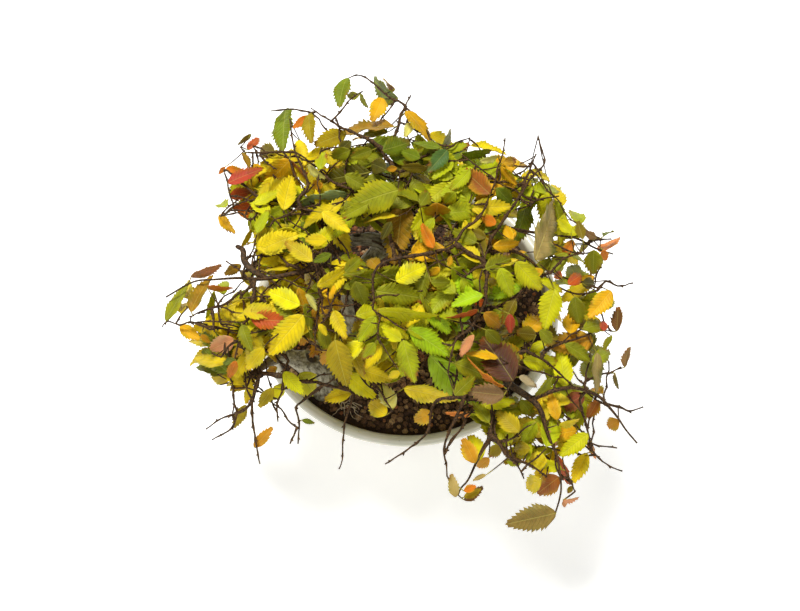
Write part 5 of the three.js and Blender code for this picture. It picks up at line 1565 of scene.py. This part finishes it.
def rounded(corners, radius, steps=5):
    """A (radius, height) line with its inner corners rounded."""
    line = [corners[0]]
    for before, corner, after in zip(corners, corners[1:], corners[2:]):
        before, corner, after = (np.array(p, float) for p in (before, corner, after))
        back = before - corner
        on = after - corner
        reach = min(radius, 0.45 * np.linalg.norm(back), 0.45 * np.linalg.norm(on))
        start = corner + unit(back) * reach
        end = corner + unit(on) * reach
        for k in range(steps + 1):
            t = k / steps
            line.append(tuple((1 - t) ** 2 * start + 2 * t * (1 - t) * corner + t * t * end))
    return line + [corners[-1]]


def glaze_finish(settings):
    """A pale satin glaze with iron specks, a stain by the soil and a bare clay foot."""
    coat = {"Coat Weight": 0.35, "Coat Roughness": 0.12, "Specular IOR Level": 0.5}
    finish = Finish("pale glaze", coat)
    z = finish.height()
    out = finish.from_axis(finish.place) / MM
    cloud = finish.noise(34)
    drift = finish.noise(9)
    crumb = finish.noise(1.6, 2.0)
    tone = finish.between(cloud.ramp(0.35, 0.65), settings.glaze, settings.shade)
    tone = finish.tinge(drift.ramp(0.55, 0.75) * 0.35, tone, (196, 186, 150))
    specks = finish.cells(3.4).ramp(0.1, 0.05) * finish.noise(5, 1.0).ramp(0.5, 0.56)
    tone = finish.tinge(specks * 0.75, tone, (92, 76, 52))
    # The damp stain is on the inner side only: within this parabola through the wall's middle.
    middle = 66.45 + z * 0.8487 - z * z * 0.00441
    inner = (middle - out).ramp(-0.4, 0.4)
    damp = inner * (z + (drift - 0.5) * 7).ramp(76.5, 71)
    tone = finish.tinge(damp * 0.75, tone, (112, 96, 60))
    worn = (z - 75 + (drift - 0.5) * 2).ramp(-0.9, 0.3) * out.ramp(108.0, 109.3)
    tone = finish.tinge(worn * 0.35, tone, (168, 170, 152))
    bare = (z + (drift - 0.5) * 3).ramp(6.6, 5.2)
    clay = finish.between(crumb, settings.clay, (146, 104, 76))
    finish.feed("Base Color", finish.mix(bare, tone, clay))
    finish.feed("Roughness", 0.3 + bare * 0.5 + drift * 0.12 + damp * 0.2)
    finish.emboss(cloud * 2 + drift * 0.8 + crumb * (0.1 + bare), 0.35, 0.6)
    return finish.material


def soil_top(x, y):
    """The soil's surface, mounded towards the trunk."""
    r = math.hypot(x, y)
    wave = math.sin(0.47 * x + 1.3 * math.sin(0.21 * y)) * math.cos(0.41 * y + 0.9 * math.sin(0.33 * x))
    mound = SOIL_MOUND * max(0.0, 1 - (r / 100) ** 2)
    return SOIL_LEVEL + mound + GRAIN_RELIEF * wave * clamp((SOIL_RADIUS - r) / 6)


def soil_bed(rings, segments):
    """The bed under the grains: a finely lumpy top, and a body that follows the pot's wall."""
    walls = [(64, 13.4), (69.4, 15.2), (85.4, 31), (97.4, 58), (100 - SEAT_GAP * 2, 66)]
    round_axis = circle(segments)
    points = [vec(0, 0, walls[0][1])]
    points += [vec(radius * c, radius * s, z) for radius, z in walls for c, s in round_axis]
    for i in range(rings, 0, -1):
        radius = SOIL_RADIUS * i / rings
        for c, s in round_axis:
            x = radius * c
            y = radius * s
            lump = 0.9 * noise.noise(Vector((x, y, 0)) * 0.33) if i < rings else 0
            points.append(vec(x, y, soil_top(x, y) - BED_DEPTH + lump))
    points.append(vec(0, 0, soil_top(0, 0) - BED_DEPTH))
    return points, turned_faces(segments, len(walls) + rings)


def soil_finish(settings):
    """Baked clay grains: most dark brown, some tan and a few orange, damp and dull."""
    finish = Finish("akadama soil", {"Roughness": 0.9, "Specular IOR Level": 0.3})
    kinds = ((0.0, (60, 43, 32)), (0.3, settings.dark), (0.55, (134, 100, 70)),
             (0.74, settings.light), (0.9, (198, 164, 120)), (0.97, (170, 106, 64)))
    stops = {"stops": [(share, linear(colour)) for share, colour in kinds]}
    tone = finish.node("ShaderNodeValToRGB", stops, {"Fac": finish.attribute("shade")})["Color"]
    crumb = finish.noise(0.9, 4.0)
    patch = finish.noise(22, 2.0)
    tone = finish.tinge(patch.ramp(0.42, 0.66) * 0.35, tone, (66, 48, 32))
    finish.feed("Base Color", finish.tinge(crumb.ramp(0.62, 0.38) * 0.55, tone, (40, 28, 19)))
    finish.feed("Roughness", 0.75 + crumb * 0.25)
    finish.emboss(crumb, 0.6, 0.8)
    return finish.material


def grain_shape(graph, kind):
    """One of the grains: a small cube blown up to a lumpy ball."""
    spot = graph.node("GeometryNodeInputPosition")[0]
    cube = {"Size": (1, 1, 1), "Vertices X": 3, "Vertices Y": 3, "Vertices Z": 3}
    box = graph.node("GeometryNodeMeshCube", None, cube)["Mesh"]
    inputs = {"Vector": spot, "W": 3.7 * kind, "Scale": 1.3, "Detail": 1.0}
    lump = graph.node("ShaderNodeTexNoise", {"noise_dimensions": "4D"}, inputs)["Color"]
    bulge = graph.vector_math("MULTIPLY_ADD", lump, (0.75, 0.75, 0.75), (-0.375, -0.375, -0.375))
    ball = graph.vector_math("SCALE", graph.vector_math("NORMALIZE", spot), Scale=0.5)
    place = {"Geometry": box, "Position": graph.vector_math("ADD", ball, bulge)}
    shape = graph.node("GeometryNodeSetPosition", None, place)[0]
    return graph.node("GeometryNodeGeometryToInstance", None, {0: shape})[0]


def grain_tree(material):
    """Geometry Nodes that strew lumpy grains over the upward faces of the bed."""
    sizes = {"Size": 0.0036, "Spacing": 0.0025, "Density": 200000.0, "Reach": 0.097}
    graph, given = geometry_tree("grains", **sizes, Seed=1)
    facing = graph.parts(graph.node("GeometryNodeInputNormal")[0])["Z"]
    out = graph.from_axis(graph.node("GeometryNodeInputPosition")[0])
    upward = graph.compare(facing, "GREATER_THAN", 0.3)
    within = graph.compare(out, "LESS_THAN", given["Reach"])
    chosen = graph.node("FunctionNodeBooleanMath", {"operation": "AND"}, {0: upward, 1: within})[0]
    inputs = {"Mesh": given["Geometry"], "Selection": chosen, "Distance Min": given["Spacing"],
              "Density Max": given["Density"], "Seed": given["Seed"]}
    spread = {"distribute_method": "POISSON"}
    points = graph.node("GeometryNodeDistributePointsOnFaces", spread, inputs)["Points"]
    shapes = graph.joined(*(grain_shape(graph, kind) for kind in range(5)))
    whole_turn = {"Min": (0, 0, 0), "Max": (6.28, 6.28, 6.28), "Seed": given["Seed"]}
    turn = graph.node("FunctionNodeRandomValue", {"data_type": "FLOAT_VECTOR"}, whole_turn)["Value"]
    size = graph.chance(0.55, 1.25, given["Seed"] + 1) * given["Size"]
    grains = graph.strewn(points, shapes, turn, size, pick=True)
    shade = {"Geometry": grains, "Name": "shade", "Value": graph.chance(0.0, 1.0, given["Seed"] + 2)}
    store = {"data_type": "FLOAT", "domain": "INSTANCE"}
    end_tree(graph, graph.node("GeometryNodeStoreNamedAttribute", store, shade)[0], material)
    return graph


def moss_finish():
    """Soft green moss, yellower in patches."""
    finish = Finish("moss", {"Roughness": 0.9})
    fine = finish.noise(1.4)
    finish.feed("Base Color", finish.between(fine.ramp(0.3, 0.7), (58, 66, 18), (142, 146, 44)))
    finish.feed("Roughness", 0.8 + fine * 0.15)
    finish.emboss(fine, 0.4, 0.7)
    return finish.material


def moss_tree(material):
    """Geometry Nodes that plant short pointed tufts all over a low mound."""
    graph, given = geometry_tree("moss", Height=0.002, Density=3000000.0, Seed=1)
    inputs = {"Mesh": given["Geometry"], "Density": given["Density"], "Seed": given["Seed"]}
    points = graph.node("GeometryNodeDistributePointsOnFaces", None, inputs)
    inputs = {"Vertices": 5, "Radius Top": 0.0, "Radius Bottom": 0.22, "Depth": 1.0}
    tuft = graph.node("GeometryNodeMeshCone", {"fill_type": "TRIANGLE_FAN"}, inputs)["Mesh"]
    size = graph.chance(0.5, 1.2, given["Seed"]) * given["Height"]
    tufts = graph.strewn(points["Points"], tuft, points["Rotation"], size)
    end_tree(graph, graph.joined(tufts, given["Geometry"]), material)
    return graph


def rootlet_lines(count, seed):
    """Fine roots that lie bare on the soil by the low trunk."""
    chance = random.Random(seed)
    lines = []
    for _ in range(count):
        u, v = (at + chance.uniform(-off, off) for at, off in zip(ROOTLET_PIXEL, ROOTLET_SPREAD))
        x, y, _ = seen(u, v, SOIL_LEVEL + 3)
        swing = chance.uniform(0, 2 * math.pi)
        line = []
        for k in range(ROOTLET_POINTS):
            z = soil_top(x, y) + 1.3 + chance.uniform(-0.5, 0.5)
            line.append((vec(x, y, z), ROOTLET_RADIUS - 0.04 * k, 0))
            swing += chance.uniform(-0.6, 0.6)
            x += ROOTLET_STEP * math.cos(swing)
            y += ROOTLET_STEP * math.sin(swing)
        lines.append(line)
    return lines


def rootlet_finish():
    """Pale fine roots."""
    finish = Finish("fine roots", {"Roughness": 0.8})
    fine = finish.noise(1.5)
    finish.feed("Base Color", finish.between(fine, (150, 124, 92), (216, 202, 176)))
    finish.emboss(fine, 0.1, 0.5)
    return finish.material


def net_finish():
    """Dull black-green plastic mesh."""
    finish = Finish("drain net plastic", {"Roughness": 0.55})
    fine = finish.noise(0.8, 2.0)
    finish.feed("Base Color", finish.between(fine, (28, 34, 30), (44, 52, 46)))
    finish.feed("Roughness", 0.5 + fine * 0.2)
    finish.emboss(fine, 0.1, 0.5)
    return finish.material


def net_tree(material):
    """Geometry Nodes that weave a square net from round bars set along two crossing rows of points."""
    graph, given = geometry_tree("net", Bars=9, Span=0.026, Bar=0.0012)
    half = (given["Span"] - given["Bar"]) * 0.5
    layers = []
    for turn, lift in ((0.0, -0.25), (math.pi / 2, 0.25)):
        low = graph.node("ShaderNodeCombineXYZ", None, {"X": half * -1})[0]
        high = graph.node("ShaderNodeCombineXYZ", None, {"X": half})[0]
        inputs = {"Count": given["Bars"], "Start Location": low, "Offset": high}
        row = graph.node("GeometryNodeMeshLine", {"mode": "END_POINTS"}, inputs)["Mesh"]
        inputs = {"Vertices": 8, "Radius": given["Bar"] * 0.25, "Depth": given["Span"]}
        bar = graph.node("GeometryNodeMeshCylinder", None, inputs)["Mesh"]
        inputs = {"Geometry": bar, "Rotation": (math.pi / 2, 0, 0)}
        lying = graph.node("GeometryNodeTransform", None, inputs)[0]
        rise = graph.node("ShaderNodeCombineXYZ", None, {"Z": given["Bar"] * lift})[0]
        inputs = {"Geometry": graph.strewn(row, lying), "Rotation": (0, 0, turn), "Translation": rise}
        layers.append(graph.node("GeometryNodeTransform", None, inputs)[0])
    end_tree(graph, graph.joined(*layers), material)
    return graph


def shown_tree(scene):
    """The grown tree with as many shoots as the settings ask for."""
    return grown_tree(scene.bonsai_crown.shoots, scene.bonsai_crown.seed)


def bark(scene):
    """The bark's material, made once."""
    return bpy.data.materials.get("zelkova bark") or bark_finish(scene.bonsai_bark)


class CrownSettings(bpy.types.PropertyGroup):
    """Sizes of the leaves, twigs and shoots"""

    shoots: IntProperty(name="Shoots", description="Leafy side shoots under the crown's surface",
                        default=260, min=0)
    seed: IntProperty(name="Seed", description="Seed of the shoots' places", default=7)
    blade: FloatProperty(name="Blade", description="Thickness of a leaf", default=0.0003, unit="LENGTH")
    teeth: FloatProperty(name="Teeth", description="Distance between a leaf's teeth", default=0.003,
                         unit="LENGTH")
    glow: FloatProperty(name="Glow", description="Light that a leaf lets through", default=0.12,
                        subtype="FACTOR", min=0, max=1)
    twig_tip: FloatProperty(name="Twig tip", description="Radius at a twig's end", default=0.00042,
                            unit="LENGTH")
    petiole: FloatProperty(name="Petiole", description="Length of the green stalk at a leaf",
                           default=0.003, unit="LENGTH")
    bud: FloatProperty(name="Bud", description="Length of half a bud", default=0.0011, unit="LENGTH")


class BarkSettings(bpy.types.PropertyGroup):
    """Relief and colours of the bark"""

    cell: FloatProperty(name="Cell", description="Size of the bark's finest relief", default=0.00085,
                        unit="LENGTH")
    furrow: FloatProperty(name="Furrow", description="Depth of the trunk's furrows", default=0.0003,
                          unit="LENGTH")
    pale: FloatVectorProperty(name="Pale bark", description="Bark on the ridges, 0 to 255",
                              default=(184, 178, 154))
    deep: FloatVectorProperty(name="Deep bark", description="Bark in the hollows, 0 to 255",
                              default=(88, 80, 60))


class PotSettings(bpy.types.PropertyGroup):
    """Shape and colours of the bowl"""

    segments: IntProperty(name="Segments", description="Facets round the bowl", default=160, min=32)
    edge: FloatProperty(name="Edge", description="Rounding of the lip", default=0.0022, unit="LENGTH")
    glaze: FloatVectorProperty(name="Glaze", description="Main colour of the glaze, 0 to 255",
                               default=(226, 222, 204))
    shade: FloatVectorProperty(name="Thin glaze", description="Colour where the glaze is thin, 0 to 255",
                               default=(206, 204, 180))
    clay: FloatVectorProperty(name="Clay", description="Colour of the bare foot, 0 to 255",
                              default=(122, 84, 60))


class SoilSettings(bpy.types.PropertyGroup):
    """Size, spacing and colours of the soil's grains"""

    grain: FloatProperty(name="Grain", description="Mean size of a grain", default=0.0042, unit="LENGTH")
    spacing: FloatProperty(name="Spacing", description="Least distance between grains", default=0.0026,
                           unit="LENGTH")
    seed: IntProperty(name="Seed", description="Seed of the grains", default=5)
    dark: FloatVectorProperty(name="Dark grains", description="Colour of most grains, 0 to 255",
                              default=(104, 76, 56))
    light: FloatVectorProperty(name="Light grains", description="Colour of the pale grains, 0 to 255",
                               default=(176, 138, 98))
    rootlets: IntProperty(name="Rootlets", description="Fine roots on the soil", default=12, min=1)
    moss: FloatProperty(name="Moss", description="Length of the moss", default=0.0022, unit="LENGTH")


class NetSettings(bpy.types.PropertyGroup):
    """Mesh of the drain nets"""

    bars: IntProperty(name="Bars", description="Bars each way in a drain net", default=11, min=3)


class StageSettings(bpy.types.PropertyGroup):
    """Floor, light and lens"""

    floor: FloatVectorProperty(name="Floor", description="Colour of the floor, 0 to 255",
                               default=(250, 250, 249))
    glow: FloatProperty(name="Glow", description="Light that the floor gives off", default=0.42)
    key: FloatProperty(name="Key", description="Power of the main light", default=52.0, unit="POWER")
    fill: FloatProperty(name="Fill", description="Strength of the light all round", default=0.34)


class BONSAI_OT_leaves(bpy.types.Operator):
    """Builds every leaf, in one piece for each node of the crown"""

    bl_idname = "bonsai.leaves"
    bl_label = "Leaves"

    def execute(self, context):
        settings = context.scene.bonsai_crown
        material = leaf_finish(settings)
        leaves = shown_tree(context.scene).leaves
        for node, members in grouped(leaves, lambda leaf: leaf.point(0.5, 0)).items():
            piece = leaf_mesh(f"{node}_leaves", members, settings, material)
            hand_over(piece, "leaf_lime" if node == "wood" else SLOT_OF_NODE[node], node)
        return {"FINISHED"}


class BONSAI_OT_twigs(bpy.types.Operator):
    """Builds the twigs, shoots, stalks and buds, in one piece for each node of the crown"""

    bl_idname = "bonsai.twigs"
    bl_label = "Twigs"

    def execute(self, context):
        settings = context.scene.bonsai_crown
        tree = shown_tree(context.scene)
        material = bark(context.scene)
        graph = twig_tree(material)
        stalks = [leaf.stalk for leaf in tree.leaves]
        strands = stalks + [s for s in tree.strands if s.kind in ("twig", "shoot")]
        groups = grouped(strands, lambda strand: 0.5 * (strand.points[0] + strand.points[-1]))
        _, thin_ends = limb_lines(tree)
        for node, members in groups.items():
            lines = [twig_line(strand, settings) for strand in members]
            if node == "wood":
                lines += thin_ends
            if lines:
                hand_over(sweep(graph, lines, f"{node}_twigs", TWIG_SIDES), "bark", node)
        spots = [(stalk.points[0], unit(stalk.points[-1] - stalk.points[0])) for stalk in stalks]
        for strand in strands[len(stalks):]:
            spots += bud_spots(strand, settings)
        points, aims = zip(*spots)
        source = mesh_object("buds", points)
        add_attribute(source.data, "aim", "FLOAT_VECTOR", aims)
        buds = run_tree(bud_tree(material), source, "buds", Size=settings.bud, Seed=settings.seed)
        hand_over(buds, "bark")
        return {"FINISHED"}


class BONSAI_OT_limbs(bpy.types.Operator):
    """Builds the trunks, limbs and surface roots as one body with carved bark"""

    bl_idname = "bonsai.limbs"
    bl_label = "Limbs"

    def execute(self, context):
        settings = context.scene.bonsai_bark
        material = bark(context.scene)
        stout, _ = limb_lines(shown_tree(context.scene))
        body = sweep(twig_tree(material), stout, "limbs", LIMB_SIDES)
        remesh = body.modifiers.new("one body", "REMESH")
        remesh.mode = "VOXEL"
        remesh.voxel_size = settings.cell
        limbs = as_plain_mesh(body, "limbs")
        carve_bark(limbs, stout, settings)
        if not limbs.data.materials:
            limbs.data.materials.append(material)
        hand_over(limbs, "bark", "wood")
        return {"FINISHED"}


class BONSAI_OT_pot(bpy.types.Operator):
    """Builds the round glazed bowl with its drain holes"""

    bl_idname = "bonsai.pot"
    bl_label = "Pot"

    def execute(self, context):
        settings = context.scene.bonsai_pot
        material = glaze_finish(settings)
        corners = [(0, 1.6), (62, 1.6), (64, 0), (POT_FOOT_RADIUS, 0)]
        corners += POT_OUTSIDE + POT_INSIDE + [(0, POT_FLOOR)]
        points, faces = lathe(rounded(corners, settings.edge / MM), settings.segments)
        pot = mesh_object("pot_bowl", points, faces, material=material)
        drill_profile = [(0, -4), (DRAIN_RADIUS, -4), (DRAIN_RADIUS, 16), (0, 16)]
        points, faces = lathe(drill_profile, DRAIN_SEGMENTS)
        drills = []
        for c, s in circle(DRAIN_COUNT):
            place = vec(DRAIN_OFFSET * c, DRAIN_OFFSET * s, 0)
            drills.append(mesh_object("drill", points + place, faces, material=material))
            cut = pot.modifiers.new("drain", "BOOLEAN")
            cut.operation = "DIFFERENCE"
            cut.object = drills[-1]
        bowl = as_plain_mesh(pot, "pot_bowl")
        for drill in drills:
            bpy.data.objects.remove(drill)
        bowl.data.shade_smooth()
        hand_over(bowl, "glaze", "pot")
        return {"FINISHED"}


class BONSAI_OT_soil(bpy.types.Operator):
    """Builds the soil's bed and grains, the moss and the rootlets"""

    bl_idname = "bonsai.soil"
    bl_label = "Soil"

    def execute(self, context):
        settings = context.scene.bonsai_soil
        material = soil_finish(settings)
        points, faces = soil_bed(BED_RINGS, BED_SEGMENTS)
        bed = mesh_object("soil_bed", points, faces, material=material)
        source = linked("grains", bed.data.copy())
        sizes = {"Size": settings.grain, "Spacing": settings.spacing, "Seed": settings.seed}
        grains = run_tree(grain_tree(material), source, "soil_grains", **sizes)
        x, y, _ = seen(*MOSS_PIXEL, SOIL_LEVEL + SOIL_MOUND)
        ground = soil_top(x, y)
        mound = [(0, -2), (7.5, -2), (7, 0.8), (4.5, 2.6), (0, 3.2)]
        points, faces = lathe([(radius, ground + z) for radius, z in mound], MOSS_SEGMENTS)
        source = mesh_object("moss", points + vec(x, y, 0), faces)
        moss = run_tree(moss_tree(moss_finish()), source, "moss", Height=settings.moss)
        lines = rootlet_lines(settings.rootlets, settings.seed)
        rootlets = sweep(twig_tree(rootlet_finish()), lines, "rootlets", ROOTLET_SIDES)
        hand_over(moss, "soil")
        hand_over(rootlets, "bark")
        hand_over(bed, "soil", "soil")
        hand_over(grains, "soil", "soil")
        return {"FINISHED"}


class BONSAI_OT_nets(bpy.types.Operator):
    """Builds the nets that keep the soil over the drain holes"""

    bl_idname = "bonsai.nets"
    bl_label = "Drain nets"

    def execute(self, context):
        graph = net_tree(net_finish())
        sizes = {"Bars": context.scene.bonsai_nets.bars, "Span": NET_SIZE * MM, "Bar": NET_THICKNESS * MM}
        for i in range(DRAIN_COUNT):
            name = f"drain_net_{i + 1}"
            low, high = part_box(name)
            middle = (Vector(low) + Vector(high)) / 2
            source = mesh_object(f"{name}_bars", [(0, 0, 0)])
            net = run_tree(graph, source, f"{name}_bars", **sizes)
            for vertex in net.data.vertices:
                vertex.co += middle
            hand_over(net, "net", name)
        return {"FINISHED"}


class BONSAI_OT_stage(bpy.types.Operator):
    """Sets the floor, the lights and the camera"""

    bl_idname = "bonsai.stage"
    bl_label = "Stage"

    def execute(self, context):
        scene = context.scene
        settings = scene.bonsai_stage
        scene.view_settings.view_transform = "Standard"
        dull = {"Roughness": 0.9, "Specular IOR Level": 0.1, "Emission Strength": settings.glow,
                "Emission Color": WHITE}
        paper = Finish("floor paper", dull)
        tone = np.array(linear(settings.floor))
        weave = paper.noise(60, 2.0)
        paper.feed("Base Color", paper.mix(weave, tuple(tone * 0.985), tuple(tone)))
        corners = [(FLOOR_REACH * x, FLOOR_REACH * y, 0) for x, y in ((-1, -1), (1, -1), (1, 1), (-1, 1))]
        mesh_object("floor", corners, [(0, 1, 2, 3)], material=paper.material)
        world = bpy.data.worlds.new("studio")
        world.use_nodes = True
        sky = world.node_tree.nodes["Background"]
        sky.inputs["Color"].default_value = WHITE
        sky.inputs["Strength"].default_value = settings.fill
        scene.world = world
        for name, place, size, share in LIGHTS:
            lamp = bpy.data.lights.new(name, "AREA")
            lamp.energy = settings.key * share
            lamp.size = size
            light = linked(name, lamp)
            light.location = place
            aim = Vector((0, 0, 0.12)) - light.location
            light.rotation_euler = aim.to_track_quat("-Z", "Y").to_euler()
        lens = bpy.data.cameras.new("camera")
        lens.sensor_width = SENSOR_WIDTH
        lens.lens = SHOT_FOCAL / PHOTO_WIDTH * SENSOR_WIDTH
        camera = linked("camera", lens)
        camera.location = EYE * MM
        camera.rotation_euler = Vector(LOOK).to_track_quat("-Z", "Y").to_euler()
        scene.camera = camera
        return {"FINISHED"}


OPERATORS = (
    BONSAI_OT_stage, BONSAI_OT_pot, BONSAI_OT_soil, BONSAI_OT_nets, BONSAI_OT_limbs, BONSAI_OT_twigs,
    BONSAI_OT_leaves,
)
SETTINGS = {
    "bonsai_crown": CrownSettings, "bonsai_bark": BarkSettings, "bonsai_pot": PotSettings,
    "bonsai_soil": SoilSettings, "bonsai_nets": NetSettings, "bonsai_stage": StageSettings,
}


class BONSAI_PT_panel(bpy.types.Panel):
    """Lists the bonsai's pieces and their settings"""

    bl_idname = "BONSAI_PT_panel"
    bl_label = "Zelkova bonsai"
    bl_space_type = "VIEW_3D"
    bl_region_type = "UI"
    bl_category = "Bonsai"

    def draw(self, context):
        for operator in OPERATORS:
            self.layout.operator(operator.bl_idname)
        for name, group in SETTINGS.items():
            box = self.layout.box()
            box.label(text=group.__doc__)
            for key in group.__annotations__:
                box.prop(getattr(context.scene, name), key)


def register():
    for group in SETTINGS.values():
        bpy.utils.register_class(group)
    for operator in OPERATORS:
        bpy.utils.register_class(operator)
    bpy.utils.register_class(BONSAI_PT_panel)
    for name, group in SETTINGS.items():
        setattr(bpy.types.Scene, name, PointerProperty(type=group))


def unregister():
    for name in SETTINGS:
        delattr(bpy.types.Scene, name)
    bpy.utils.unregister_class(BONSAI_PT_panel)
    for operator in reversed(OPERATORS):
        bpy.utils.unregister_class(operator)
    for group in SETTINGS.values():
        bpy.utils.unregister_class(group)


def main():
    register()
    for operator in OPERATORS:
        module, name = operator.bl_idname.split(".")
        getattr(getattr(bpy.ops, module), name)()


if __name__ == "__main__":
    main()
